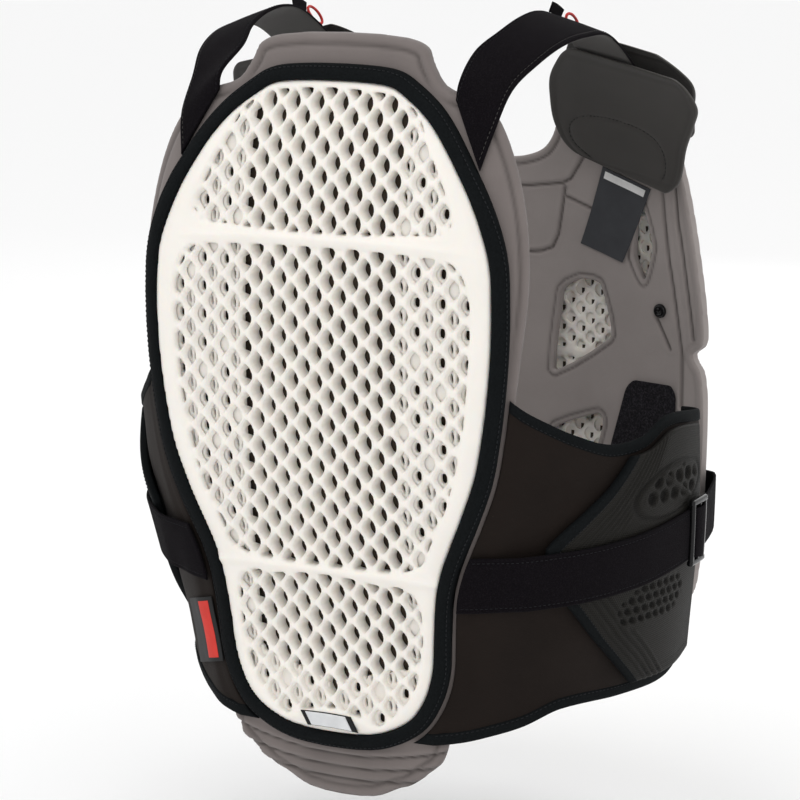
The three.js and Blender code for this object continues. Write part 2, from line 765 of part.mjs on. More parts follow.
// Back foam with its neck tab and its stepped tail
const FOAM_COLUMNS = 8;
const FOAM_ROW = 44;
const FOAM_EDGE = 0.35;
function foamHeights() {
  const heights = [];
  for (let i = 0; i + 1 < FOAM_OUTLINE.length; i += 1) {
    const from = FOAM_OUTLINE[i].down;
    const to = FOAM_OUTLINE[i + 1].down;
    const parts = Math.ceil(((to - from) * BACK_HEIGHT) / FOAM_ROW);
    for (let k = 0; k < parts; k += 1) heights.push(mix(from, to, k / parts));
  }
  heights.push(FOAM_OUTLINE[FOAM_OUTLINE.length - 1].down);
  return heights;
}

function makeBackFoam() {
  const heights = foamHeights();
  const rows = heights.length - 1;
  return sheet(FOAM_COLUMNS, rows, (u, v, w) => {
    const down = heights[Math.round(v * rows)];
    const across = 2 * u - 1;
    const half = (read(FOAM_OUTLINE, "down", down, "half") * PLATE_WIDTH) / 2;
    const top = FOAM_THICKNESS * readStraight(FOAM_OUTLINE, "down", down, "swell");
    const thin = FOAM_THICKNESS * FOAM_EDGE * Math.abs(across) ** 12;
    const depth = w > 0.5 ? top - thin * 0.5 : -FOAM_THICKNESS + thin;
    return backPoint(across * half, heightAt(down), depth);
  });
}

add("back_foam", makeBackFoam(), "foam");

// Wings, with their sewn edges above and below
const wingRound = (share) => share * PLATE_WIDTH;
const wingTop = (s) => heightAt(read(WING_TOP, "round", s / PLATE_WIDTH, "down"));
const wingHem = (s) => heightAt(read(WING_HEM, "round", s / PLATE_WIDTH, "down"));
const bindingRows = plateEdge(BINDING_WIDTH + 10 * GAP)
  .slice(0, PLATE_OUTLINE.length)
  .map((p) => ({ down: downOf(p.y), half: p.x }));
const bindingEdge = (z) => readStraight(bindingRows, "down", downOf(z), "half");
const WING_COLUMNS = 14;
const WING_ROWS = 8;

// A wing band between two edges, given as functions of the way round.
function wingBand(side, topAt, bottomAt, rows, inner, outer) {
  return sheet(WING_COLUMNS, rows, (u, v, w) => {
    const target = wingRound(WING_END);
    let start = bindingEdge(topAt(wingRound(0.5)));
    let z = 0;
    for (let turn = 0; turn < 6; turn += 1) {
      const s = mix(start, target, u);
      z = mix(topAt(s), bottomAt(s), v);
      start = bindingEdge(z);
    }
    return backPoint(side * mix(start, target, u), z, w > 0.5 ? outer : inner);
  });
}

function addWing(side, word) {
  const top = (s) => wingTop(s) - WING_EDGE_WIDTH - GAP;
  const foot = (s) => wingHem(s) + WING_EDGE_WIDTH + GAP;
  const face = SEAT + WING_THICKNESS;
  const edge = face + WING_EDGE_STANDS;
  const topBand = wingBand(side, wingTop, (s) => wingTop(s) - WING_EDGE_WIDTH, 1, SEAT, edge);
  const hemBand = wingBand(side, (s) => wingHem(s) + WING_EDGE_WIDTH, wingHem, 1, SEAT, edge);
  add(`wing_${word}`, wingBand(side, top, foot, WING_ROWS, SEAT, face), "wing");
  add(`wing_top_edge_${word}`, topBand, "binding");
  add(`wing_hem_${word}`, hemBand, "binding");
}

// Side pad on the wing, with a pointed rear edge
const PAD_LIFT = WING_THICKNESS + 4.5 * SEAT;
const SIDE_PAD_INSET = WING_EDGE_WIDTH + 2 * GAP;
function addSidePad(side, word) {
  const first = SIDE_PAD_REAR[0].down;
  const last = SIDE_PAD_REAR[SIDE_PAD_REAR.length - 1].down;
  const geometry = sheet(9, 7, (u, v, w) => {
    const rear = wingRound(read(SIDE_PAD_REAR, "down", mix(first, last, v), "round"));
    const s = mix(rear, wingRound(SIDE_PAD_END), u);
    const z = mix(wingTop(s) - SIDE_PAD_INSET, wingHem(s) + SIDE_PAD_INSET, v);
    const rim = Math.min(u, 1 - u, v, 1 - v) < 0.02 ? 0.45 : 1;
    return backPoint(side * s, z, PAD_LIFT + (w > 0.5 ? SIDE_PAD_THICKNESS * rim : 0));
  });
  add(`side_pad_${word}`, geometry, "pad");
}

// Belt from the binding over the side pad, round the buckle's bar and back on itself
const BELT_LIFT = PAD_LIFT + SIDE_PAD_THICKNESS + SEAT;
const beltHeight = (s) => heightAt(read(BELT_LINE, "round", s / PLATE_WIDTH, "down"));
const BELT_RISE = { from: 0.46, to: 0.56 };
const BELT_START = 3;
function beltOffset(s) {
  const low = PAD_LIFT;
  const share = s / PLATE_WIDTH;
  const t = THREE.MathUtils.smoothstep(share, BELT_RISE.from, BELT_RISE.to);
  return mix(low, BELT_LIFT, t);
}

const BELT_COLUMNS = 18;
function addBelt(side, word) {
  const rear = beltHeight(wingRound(0.4));
  const geometry = sheet(BELT_COLUMNS, 1, (u, v, w) => {
    const rise = (0.5 - v) * BELT_WIDTH;
    const s = mix(bindingEdge(rear + rise) + BELT_START, wingRound(BELT_END), u);
    const z = beltHeight(s) + rise;
    return backPoint(side * s, z, beltOffset(s) + w * BELT_THICKNESS);
  });
  add(`belt_${word}`, geometry, "webbing");
}

// Buckle: a frame with a middle bar, standing on the belt's end
const rectangle = (x0, x1, y0, y1) => [
  new THREE.Vector2(x0, y0),
  new THREE.Vector2(x1, y0),
  new THREE.Vector2(x1, y1),
  new THREE.Vector2(x0, y1),
];
const buckleMiddle = wingRound(BELT_END) - BUCKLE_WIDTH / 2;
function addBuckle(side, word) {
  const z = beltHeight(buckleMiddle);
  const half = BUCKLE_WIDTH / 2;
  const tall = BUCKLE_HEIGHT / 2;
  const slot = tall - BUCKLE_BAR;
  const holes = [
    rectangle(-half + BUCKLE_BAR, -BUCKLE_BAR / 2, -slot, slot),
    rectangle(BUCKLE_BAR / 2, half - BUCKLE_BAR, -slot, slot),
  ];
  const whole = toSolid(flatSlab(rectangle(-half, half, -tall, tall), [], BUCKLE_BAR));
  const frame = fromSolid(cutThrough(whole, holes, flatPlace, -CUT_PAST, BUCKLE_BAR + CUT_PAST));
  const lift = BELT_LIFT + BELT_THICKNESS + SEAT;
  const geometry = bend(frame, (x, y, w) => backPoint(side * (buckleMiddle + x), z + y, lift + w));
  add(`buckle_${word}`, geometry, "buckle");
}

// Short strap from the buckle forward onto the chest foam
const STRAP_SEAT = CHEST_FOAM_THICKNESS + 2.5 * SEAT;
const STRAP_LEAD = 5;
function chestStrapLine(z) {
  const s = wingRound(BELT_END) + 1.5 * GAP;
  return new THREE.CatmullRomCurve3([
    backPoint(s, z, BELT_LIFT + BELT_THICKNESS / 2),
    backPoint(s + STRAP_LEAD, z, BELT_LIFT + BELT_THICKNESS / 2),
    frontPoint(chestHalf * 1.03, z, STRAP_SEAT),
    frontPoint(chestHalf * 0.985, z, STRAP_SEAT + BELT_THICKNESS),
    frontPoint(chestHalf * 0.92, z, STRAP_SEAT + BELT_THICKNESS / 2),
    frontPoint(chestHalf * 0.84, z, STRAP_SEAT + BELT_THICKNESS / 2),
    frontPoint(chestHalf * 0.76, z, STRAP_SEAT + BELT_THICKNESS / 2),
  ]);
}

function addChestStrap(side, word) {
  const middle = beltHeight(wingRound(BELT_END));
  const geometry = sheet(12, 1, (u, v, w) => {
    const line = chestStrapLine(middle + (0.5 - v) * BELT_WIDTH);
    const at = line.getPoint(u);
    const way = line.getTangent(u);
    const out = new THREE.Vector3(-way.y, way.x, 0).normalize();
    at.addScaledVector(out, (w - 0.5) * BELT_THICKNESS);
    return at.setX(side * at.x);
  });
  add(`chest_strap_${word}`, geometry, "webbing");
}

// Chest foam with its vents
const CHEST_COLUMNS = 16;
const CHEST_ROWS = 13;
const CHEST_ROW_CROWDING = 1.25;
const chestHeight = CHEST_TOP - CHEST_BOTTOM;
function chestOutlineX(v, u) {
  return u * chestHalf * read(CHEST_SIDE, "down", v, "half");
}

function makeChestFoam() {
  const body = toSolid(sheet(CHEST_COLUMNS, CHEST_ROWS, (u, v, w) => {
    const across = 2 * u - 1;
    const top = heightAt(read(CHEST_NECKLINE, "out", Math.abs(across), "down"));
    const foot = heightAt(read(CHEST_FOOT, "out", Math.abs(across), "down"));
    const z = mix(top, foot, v ** CHEST_ROW_CROWDING);
    const x = chestOutlineX(THREE.MathUtils.clamp((CHEST_TOP - z) / chestHeight, 0, 1), across);
    return frontPoint(x, z, w * CHEST_FOAM_THICKNESS);
  }));
  const vents = CHEST_VENTS.flatMap((vent) => SIDES.map(({ side }) => vent.map((row) => (
    new THREE.Vector2(side * row.out * chestHalf, heightAt(row.down))
  ))));
  const place = (x, y, z) => frontPoint(x, y, z);
  return closed(fromSolid(cutThrough(body, vents, place, -CUT_PAST, CHEST_FOAM_THICKNESS + CUT_PAST)));
}

// Chest plate: the same pierced make as the back plate, on the outside of the foam
const CHEST_RIM = 14;
const CHEST_CELL = { pitch: 34, height: 68 };
const chestPlateHalf = (z) => chestHalf * read(CHEST_PLATE_SIDE, "down", downOf(z), "half");
const chestWindow = ({ top, bottom }) => windowRing(
  heightAt(top),
  heightAt(bottom),
  (z) => chestPlateHalf(z) - CHEST_RIM,
);

const CHEST_PLATE_STEPS = 10;
const CHEST_PLATE_SEAT = CHEST_FOAM_THICKNESS + 2.5 * SEAT;
function chestPlateEdge() {
  const ring = [];
  const at = (across, v) => {
    const top = read(CHEST_PLATE_TOP, "across", Math.abs(across), "down");
    const foot = read(CHEST_PLATE_FOOT, "across", Math.abs(across), "down");
    const z = heightAt(mix(top, foot, v));
    return new THREE.Vector2(across * chestPlateHalf(z), z);
  };
  const steps = CHEST_PLATE_STEPS;
  for (let i = 0; i < steps; i += 1) ring.push(at(mix(-1, 1, i / steps), 0));
  for (let i = 0; i < steps; i += 1) ring.push(at(1, i / steps));
  for (let i = 0; i < steps; i += 1) ring.push(at(mix(1, -1, i / steps), 1));
  for (let i = 0; i < steps; i += 1) ring.push(at(-1, 1 - i / steps));
  return ring;
}

function makeChestPlate() {
  const cells = CHEST_PLATE_WINDOWS.flatMap((window) => latticeCells({
    outline: chestWindow(window),
    reach: chestHalf,
    top: heightAt(window.top),
    bottom: heightAt(window.bottom),
    ...CHEST_CELL,
    smallest: (CHEST_CELL.pitch * CHEST_CELL.height) / 6,
  }));
  const slab = toSolid(flatSlab(chestPlateEdge(), [], CHEST_PLATE_THICKNESS));
  const flat = cutThrough(slab, cells, flatPlace, -CUT_PAST, CHEST_PLATE_THICKNESS + CUT_PAST);
  const fine = refine(fromSolid(flat), LONGEST_EDGE);
  return bend(fine, (x, y, z) => frontPoint(x, y, CHEST_PLATE_SEAT + z));
}

add("chest_foam", makeChestFoam(), "foam");
add("chest_plate", makeChestPlate(), "plate");

// Shoulder strap: lies on the back foam, crosses the shoulder and runs into the shoulder pad
const STRAP_STEPS = 22;
const STRAP_IN_PAD_DEPTH = 4 * SEAT + STRAP_THICKNESS / 2;
function strapEdges() {
  const half = TORSO_WIDTH / 2;
  const onBack = (share, down) => backPoint(share * half, heightAt(down), 2 * SEAT + STRAP_THICKNESS / 2);
  const inPad = (share, down) => frontPoint(share * half, heightAt(down), -STRAP_IN_PAD_DEPTH);
  const neck = [];
  const outer = [];
  for (const row of STRAP_ON_BACK) {
    neck.push(onBack(row.neck, row.neckDown));
    outer.push(onBack(row.outer, row.outerDown));
  }
  for (const row of SHOULDER_ROWS) {
    neck.push(new THREE.Vector3(row.neck * half, row.neckBack * BACK_DEPTH, row.neckUp * BACK_HEIGHT));
    outer.push(new THREE.Vector3(row.outer * half, row.outerBack * BACK_DEPTH, row.outerUp * BACK_HEIGHT));
  }
  for (const row of STRAP_IN_PAD) {
    neck.push(inPad(row.neck, row.neckDown));
    outer.push(inPad(row.outer, row.outerDown));
  }
  return {
    neck: new THREE.CatmullRomCurve3(neck),
    outer: new THREE.CatmullRomCurve3(outer),
  };
}

// A point on the strap: u across from the neck edge, v along it, lift up from its middle.
function onStrap({ neck, outer }, u, v, lift) {
  const a = neck.getPoint(v);
  const b = outer.getPoint(v);
  const way = neck.getTangent(v).lerp(outer.getTangent(v), u);
  const up = way.cross(b.clone().sub(a)).normalize();
  return a.lerp(b, u).addScaledVector(up, lift);
}

function addShoulderStrap(side, word) {
  const edges = strapEdges();
  const geometry = sheet(1, STRAP_STEPS, (u, v, w) => {
    const at = onStrap(edges, u, v, (w - 0.5) * STRAP_THICKNESS);
    return at.setX(side * at.x);
  });
  add(`shoulder_strap_${word}`, geometry, "webbing");
}

// Pull tab and cord loop that stand on the strap near its neck edge; at is the share of its length
const PULL_TAB = { at: 0.455, length: 14, height: 8, thickness: 1.5, inset: 2 };
const PULL_LOOP = { at: 0.494, radius: 4.5, cord: 1.1, inset: 4 };
function addPull(side, word) {
  const edges = strapEdges();
  const length = edges.neck.getLength();
  const width = edges.neck.getPoint(PULL_TAB.at).distanceTo(edges.outer.getPoint(PULL_TAB.at));
  const ground = STRAP_THICKNESS / 2 + GAP;
  const tab = sheet(2, 1, (u, v, w) => {
    const along = PULL_TAB.at + ((u - 0.5) * PULL_TAB.length) / length;
    const across = (PULL_TAB.inset + w * PULL_TAB.thickness) / width;
    const at = onStrap(edges, across, along, ground + (1 - v) * PULL_TAB.height);
    return at.setX(side * at.x);
  });
  const ring = new THREE.TorusGeometry(PULL_LOOP.radius, PULL_LOOP.cord, 6, 12);
  const foot = ground + PULL_LOOP.radius + PULL_LOOP.cord;
  const loop = bend(ring, (x, y, z) => {
    const at = onStrap(edges, (PULL_LOOP.inset + z) / width, PULL_LOOP.at + x / length, foot + y);
    return at.setX(side * at.x);
  });
  add(`pull_tab_${word}`, tab, "webbing");
  add(`pull_loop_${word}`, loop, "cord");
}

// Shoulder pad: an inner flap and an outer cover, with the strap's end between them
const FLAP_DEPTH = -(9 * SEAT + STRAP_THICKNESS);
const COVER_DEPTH = CHEST_FOAM_THICKNESS + SEAT;
function padLayer(rows, inner, side) {
  const first = rows[0].down;
  const last = rows[rows.length - 1].down;
  return sheet(7, 5, (u, v, w) => {
    const at = mix(first, last, v);
    const from = read(rows, "down", at, "inner");
    const to = read(rows, "down", at, "outer");
    const z = heightAt(at + read(rows, "down", at, "drop") * u);
    return frontPoint(side * chestHalf * mix(from, to, u), z, inner + w * PAD_LAYER);
  });
}

function addShoulderPad(side, word) {
  add(`shoulder_flap_${word}`, padLayer(FLAP_ROWS, FLAP_DEPTH - PAD_LAYER, side), "pad");
  add(`shoulder_cover_${word}`, padLayer(COVER_ROWS, COVER_DEPTH, side), "pad");
}

// Hook patch on the inner face of the chest foam
const HOOK_PATCH = { inner: 0.5, outer: 0.86, top: 0.508, bottom: 0.62, lean: 0.1, thickness: 2 };
function addHookPatch(side, word) {
  const geometry = sheet(4, 3, (u, v, w) => {
    const share = mix(HOOK_PATCH.inner, HOOK_PATCH.outer, u) + HOOK_PATCH.lean * (1 - v) * (1 - u);
    const z = heightAt(mix(HOOK_PATCH.top, HOOK_PATCH.bottom, v));
    return frontPoint(side * share * chestHalf, z, -SEAT - w * HOOK_PATCH.thickness);
  });
  add(`hook_patch_${word}`, geometry, "webbing");
}

// Press stud on the inner face of the chest foam
const SNAP = { out: 0.77, down: 0.405, radius: 5.5, height: 2.5 };
function addSnap(side, word) {
  const stud = new THREE.CylinderGeometry(SNAP.radius * 0.8, SNAP.radius, SNAP.height, 12);
  const geometry = bend(stud, (x, y, z) => frontPoint(
    side * (SNAP.out * chestHalf + x),
    heightAt(SNAP.down) + z,
    -SEAT - y - SNAP.height / 2,
  ));
  add(`chest_snap_${word}`, geometry, "binding");
}

// Bare cloth labels, each given by its four corners: inside the chest as shares of half of
// CHEST_WIDTH (out), on the left wing as shares of PLATE_WIDTH (round), and of BACK_HEIGHT (down).
const LABEL_THICKNESS = 1;
const CARE_LABEL = {
  top: [{ out: -0.51, down: 0.207 }, { out: -0.753, down: 0.234 }],
  foot: [{ out: -0.354, down: 0.321 }, { out: -0.573, down: 0.343 }],
};
const SIDE_LABEL = {
  top: [{ round: 0.375, down: 0.757 }, { round: 0.536, down: 0.779 }],
  foot: [{ round: 0.347, down: 0.846 }, { round: 0.522, down: 0.87 }],
};
function labelSheet({ top, foot }, key, place) {
  const at = (row, u, column) => mix(row[0][column], row[1][column], u);
  return sheet(3, 3, (u, v, w) => place(
    mix(at(top, u, key), at(foot, u, key), v),
    heightAt(mix(at(top, u, "down"), at(foot, u, "down"), v)),
    w * LABEL_THICKNESS,
  ));
}

add("care_label", labelSheet(CARE_LABEL, "out", (x, z, d) => (
  frontPoint(x * chestHalf, z, -SEAT - d)
)), "label");
add("side_label", labelSheet(SIDE_LABEL, "round", (s, z, d) => (
  backPoint(wingRound(s), z, WING_THICKNESS + 3 * SEAT + d)
)), "label");

for (const { side, word } of SIDES) {
  addShoulderStrap(side, word);
  addPull(side, word);
  addSnap(side, word);
  addShoulderPad(side, word);
  addWing(side, word);
  addSidePad(side, word);
  addBelt(side, word);
  addBuckle(side, word);
  addChestStrap(side, word);
  addHookPatch(side, word);
}

export default group;
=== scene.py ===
# Chest protector in worn form: the looks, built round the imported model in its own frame.
# The body's surfaces are worked out in millimetres as in the model: a place is (s, z, d), with s
# measured round the body from the spine (or x across the chest), z up and d out from the foam.
import math

import bmesh
import bpy
import numpy as np
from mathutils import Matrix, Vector


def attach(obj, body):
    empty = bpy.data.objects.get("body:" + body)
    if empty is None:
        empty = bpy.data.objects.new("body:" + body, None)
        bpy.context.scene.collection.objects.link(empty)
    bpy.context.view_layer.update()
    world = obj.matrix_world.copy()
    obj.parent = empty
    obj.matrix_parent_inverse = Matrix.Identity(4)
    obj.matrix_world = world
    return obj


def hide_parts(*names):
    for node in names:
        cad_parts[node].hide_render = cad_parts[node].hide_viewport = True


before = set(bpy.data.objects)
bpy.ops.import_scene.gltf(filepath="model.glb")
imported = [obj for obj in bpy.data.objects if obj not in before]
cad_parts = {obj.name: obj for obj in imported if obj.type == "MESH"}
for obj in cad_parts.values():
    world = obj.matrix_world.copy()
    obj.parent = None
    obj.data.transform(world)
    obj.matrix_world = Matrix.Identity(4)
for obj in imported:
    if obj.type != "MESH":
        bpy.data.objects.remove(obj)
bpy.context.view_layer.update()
MM = 0.001

# Body sizes, in millimetres, as in the model
BACK_HEIGHT = 560
BACK_DEPTH = 128
FRONT_DEPTH = 184
TORSO_WIDTH = 420
PLATE_HEIGHT = 477
PLATE_WIDTH = 274
PLATE_TOP = -37
CHEST_WIDTH = 356
CHEST_SAG = 35
CHEST_TOP = -50
CHEST_BOTTOM = -468
FLAT_SAG = 0.044
END_OFFSET = 5.8

# Back and side sections, chest sections and outlines, in the model's shares
BACK_SECTIONS = dict(
    down=[0.0, 0.066, 0.15, 0.262, 0.34, 0.468, 0.6, 0.695, 0.805, 0.904, 1.02],
    depth=[0.742, 0.793, 0.906, 0.977, 1.0, 0.996, 0.96, 0.906, 0.848, 0.836, 0.805],
    flat=[0.73, 0.79, 0.89, 0.99, 1.0, 0.97, 0.9, 0.8, 0.69, 0.61, 0.54],
    side=[0.88, 0.93, 0.99, 1.0, 1.0, 1.0, 0.99, 0.95, 0.895, 0.855, 0.82],
    corner=[0.4, 0.4, 0.4, 0.4, 0.4, 0.42, 0.5, 0.58, 0.62, 0.66, 0.68],
)
SIDE_TURN = dict(
    out=[0.19, 0.35, 0.5, 0.645, 0.76, 0.87, 0.95, 1.0, 0.97, 0.89],
    along=[0.032, 0.088, 0.148, 0.214, 0.289, 0.391, 0.5, 0.68, 0.86, 1.0],
)
FRONT_SECTIONS = dict(
    down=[-0.018, 0.036, 0.107, 0.202, 0.286, 0.393, 0.536, 0.714, 0.85],
    depth=[0.245, 0.5, 0.728, 0.875, 0.946, 0.989, 1.0, 0.978, 0.951],
)
PLATE_OUTLINE = dict(
    down=[0.0, 0.006, 0.019, 0.048, 0.08, 0.122, 0.168, 0.216, 0.258, 0.321, 0.384, 0.447,
          0.509, 0.572, 0.635, 0.677, 0.719, 0.761, 0.824, 0.887, 0.929, 0.96, 0.981, 0.996],
    half=[0.22, 0.36, 0.44, 0.577, 0.679, 0.781, 0.876, 0.949, 0.988, 1.0, 0.996, 0.978,
          0.949, 0.905, 0.823, 0.757, 0.695, 0.655, 0.628, 0.606, 0.558, 0.487, 0.38, 0.22],
)


def read(table, key, at, column):
    """Smooth reading of one column of a table, by its key column."""
    x = np.array(table[key], float)
    y = np.array(table[column], float)
    at = np.clip(np.asarray(at, float), x[0], x[-1])
    last = len(x) - 1
    i = np.clip(np.searchsorted(x, at, side="left") - 1, 0, last - 1)
    low = np.maximum(i - 1, 0)
    high = np.minimum(i + 2, last)
    width = x[i + 1] - x[i]
    start = (y[i + 1] - y[low]) / (x[i + 1] - x[low]) * width
    end = (y[high] - y[i]) / (x[high] - x[i]) * width
    t = (at - x[i]) / width
    rise = y[i + 1] - y[i]
    bend = (start - rise) * (1 - t) - (end - rise) * t
    return y[i] + rise * t + t * (1 - t) * bend


def mix(a, b, t):
    return a + (b - a) * t


def smoothstep(a, b, x):
    t = np.clip((x - a) / (b - a), 0, 1)
    return t * t * (3 - 2 * t)


def hump(away, width):
    """A soft bump, 1 in its middle."""
    return np.exp(-((away / width) ** 2))


def round_fall(f, radius):
    """How far an edge of that radius falls away, at a distance f inside it."""
    return radius - radius * np.sqrt(1 - (1 - np.clip(f / radius, 0, 1)) ** 2)


def catmull(knots, per):
    """Points of the centripetal curve through the knots, so many to each stretch."""
    p = np.vstack([2 * knots[0] - knots[1], knots, 2 * knots[-1] - knots[-2]])
    p0, p1, p2, p3 = p[:-3], p[1:-2], p[2:-1], p[3:]

    def gap(a, b):
        return np.maximum(np.sum((b - a) ** 2, axis=1) ** 0.25, 1e-4)[:, None]

    a, b, c = gap(p0, p1), gap(p1, p2), gap(p2, p3)
    leave = ((p1 - p0) / a - (p2 - p0) / (a + b) + (p2 - p1) / b) * b
    arrive = ((p2 - p1) / b - (p3 - p1) / (b + c) + (p3 - p2) / c) * b
    t = (np.arange(per) / per)[None, :, None]
    square = -3 * p1 + 3 * p2 - 2 * leave - arrive
    cube = 2 * p1 - 2 * p2 + leave + arrive
    points = p1[:, None] + leave[:, None] * t + square[:, None] * t**2 + cube[:, None] * t**3
    return np.vstack([points.reshape(-1, knots.shape[1]), knots[-1:]])


def closed_curve(ring, per):
    """The closed curve through a ring of knots."""
    ring = np.vstack([ring[-2:], ring, ring[:3]])
    return catmull(ring, per)[2 * per:-2 * per]


def mirrored_loop(outline, top, height, per):
    """The closed curve through an outline's half widths and their mirror images."""
    x = np.array(outline["half"]) * PLATE_WIDTH / 2
    half = np.stack([x, top - np.array(outline["down"]) * height], axis=1)
    return closed_curve(np.vstack([half, half[::-1] * [-1, 1]]), per)


def curve_at(points, t):
    """Places at shares t along a row of points."""
    at = np.clip(np.asarray(t, float), 0, 1) * (len(points) - 1)
    i = np.minimum(at.astype(int), len(points) - 2)
    f = (at - i)[..., None]
    return points[i] * (1 - f) + points[i + 1] * f


def bilinear(table, row, column):
    """Places read from a table of places, between its rows and columns too."""
    j = np.minimum(np.asarray(row).astype(int), table.shape[0] - 2)
    i = np.minimum(np.asarray(column).astype(int), table.shape[1] - 2)
    down, along = (row - j)[..., None], (column - i)[..., None]
    lower = table[j, i] * (1 - along) + table[j, i + 1] * along
    upper = table[j + 1, i] * (1 - along) + table[j + 1, i + 1] * along
    return lower * (1 - down) + upper * down


# The chest surface
CHEST_HALF = CHEST_WIDTH / 2


def front_point(x, z, d):
    x, z, d = np.broadcast_arrays(*(np.asarray(v, float) for v in (x, z, d)))
    depth = FRONT_DEPTH * read(FRONT_SECTIONS, "down", -z / BACK_HEIGHT, "depth")
    reach = np.abs(x) / CHEST_HALF
    curve = np.where(reach < 1, reach * reach, 2 * reach - 1)
    tilt = 2 * np.minimum(reach, 1) * CHEST_SAG / CHEST_HALF
    long = np.hypot(tilt, 1)
    side = np.where(x < 0, -1.0, 1.0)
    return np.stack([x + side * tilt * d / long, -depth + CHEST_SAG * curve - d / long, z], axis=-1)


# The back and side surface, kept as a grid of sections
GRID = dict(low=-600.0, high=48.0, z_step=4.0, s_start=-8.0, s_end=480.0, s_step=2.0)


def back_section(z):
    """Knots of the half section at height z, in plan."""
    at = -z / BACK_HEIGHT
    rear = BACK_DEPTH * float(read(BACK_SECTIONS, "down", at, "depth"))
    flat = PLATE_WIDTH / 2 * float(read(BACK_SECTIONS, "down", at, "flat"))
    side = TORSO_WIDTH / 2 * float(read(BACK_SECTIONS, "down", at, "side"))
    corner = -FRONT_DEPTH * float(read(BACK_SECTIONS, "down", at, "corner"))
    edge = rear - FLAT_SAG * flat
    knots = [(k * flat, rear - FLAT_SAG * flat * k * k) for k in (-0.4, 0, 0.4, 0.75, 0.93, 1)]
    for out, along in zip(SIDE_TURN["out"], SIDE_TURN["along"]):
        knots.append((flat + (side - flat) * out, edge - (edge - corner) * along))
    for share in (0.84, 0.72, 0.6):
        seat = front_point(CHEST_HALF * share, z, -END_OFFSET)
        knots.append((seat[0], seat[1]))
    return np.array(knots, float)


def section_grid():
    heights = np.arange(GRID["low"], GRID["high"] + 0.1, GRID["z_step"])
    rounds = np.arange(GRID["s_start"], GRID["s_end"] + 0.1, GRID["s_step"])
    per = 8
    grid = np.zeros((len(heights), len(rounds), 2))
    for row, z in enumerate(heights):
        points = catmull(back_section(z), per)[per:]
        points = np.vstack([points, points[-1] + (points[-1] - points[-2]) * 40])
        lengths = np.concatenate([[0], np.cumsum(np.linalg.norm(np.diff(points, axis=0), axis=1))])
        away = np.abs(rounds)
        grid[row, :, 0] = np.interp(away, lengths, points[:, 0]) * np.where(rounds < 0, -1, 1)
        grid[row, :, 1] = np.interp(away, lengths, points[:, 1])
    return grid


SECTIONS = section_grid()


def on_section(s, z):
    u = np.clip((s - GRID["s_start"]) / GRID["s_step"], 0, SECTIONS.shape[1] - 1.001)
    v = np.clip((z - GRID["low"]) / GRID["z_step"], 0, SECTIONS.shape[0] - 1.001)
    return bilinear(SECTIONS, v, u)


def back_point(s, z, d):
    s, z, d = np.broadcast_arrays(*(np.asarray(v, float) for v in (s, z, d)))
    away = np.abs(s)
    side = np.where(s < 0, -1.0, 1.0)
    point = on_section(away, z)
    way = on_section(away + 4, z) - on_section(away - 4, z)
    way /= np.linalg.norm(way, axis=-1, keepdims=True)
    return np.stack([side * (point[..., 0] - way[..., 1] * d), point[..., 1] + way[..., 0] * d, z], axis=-1)


# Meshes
def make(name, points, faces, smooth=True):
    """A mesh object from points in millimetres."""
    mesh = bpy.data.meshes.new(name)
    mesh.from_pydata((np.asarray(points) * MM).tolist(), [], faces)
    mesh.polygons.foreach_set("use_smooth", [smooth] * len(mesh.polygons))
    mesh.update()
    piece = bpy.data.objects.new(name, mesh)
    bpy.context.scene.collection.objects.link(piece)
    return piece


def outward(piece):
    """Turn every face of a closed mesh outwards."""
    shape = bmesh.new()
    shape.from_mesh(piece.data)
    bmesh.ops.recalc_face_normals(shape, faces=shape.faces)
    shape.to_mesh(piece.data)
    shape.free()
    return piece


def keep_flat(piece, flat):
    """Store flat coordinates, in metres, for the weave of a material."""
    layer = piece.data.attributes.new("flat", "FLOAT_VECTOR", "POINT")
    layer.data.foreach_set("vector", (np.asarray(flat, float) * MM).astype(np.float32).ravel())


def keep_groove_shade(piece, groove_shade):
    """Store how deep in a groove each point lies, for painted shade that darkens a material there."""
    layer = piece.data.attributes.new("groove_shade", "FLOAT", "POINT")
    layer.data.foreach_set("value", np.asarray(groove_shade, np.float32).ravel())


def from_border(u, v, size):
    """Distance of a place on a rectangle from its nearest side."""
    return np.minimum(np.minimum(u, 1 - u) * size[0], np.minimum(v, 1 - v) * size[1])


def round_corners(u, v, size, radius):
    """Shares across and down, with the corners of the rectangle drawn in to a round."""
    edge = np.minimum(np.minimum(v, 1 - v) * size[1], radius)
    drawn = radius - np.sqrt(np.maximum(radius**2 - (radius - edge) ** 2, 0))
    return 0.5 + (u - 0.5) * (1 - 2 * drawn / size[0]), v


def with_round_corners(place, size, radius):
    return lambda u, v, d: place(*round_corners(u, v, size, radius), d)


def spread(count, size, edge):
    """Shares from 0 to 1 with extra lines close to both edges, so that edges can be round."""
    close = np.array([0, 0.12, 0.4, 0.8]) * edge / size
    inner = np.linspace(edge * 1.3 / size, 1 - edge * 1.3 / size, count)
    return np.concatenate([close, inner, 1 - close[::-1]])


def roundness(away, edge):
    """Share of the full thickness at a distance from the edge."""
    t = np.clip(away / edge, 0, 1)
    return 0.3 + 0.7 * np.sqrt(1 - (1 - t) ** 2)


def grid_faces(rows, columns, start=0, flip=False, wrap=False):
    index = np.arange(rows * columns).reshape(rows, columns) + start
    if wrap:
        index = np.hstack([index, index[:, :1]])
    a, b = index[:-1, :-1].ravel(), index[:-1, 1:].ravel()
    c, d = index[1:, 1:].ravel(), index[1:, :-1].ravel()
    quads = np.stack([a, d, c, b] if flip else [a, b, c, d], axis=1)
    return quads.tolist()


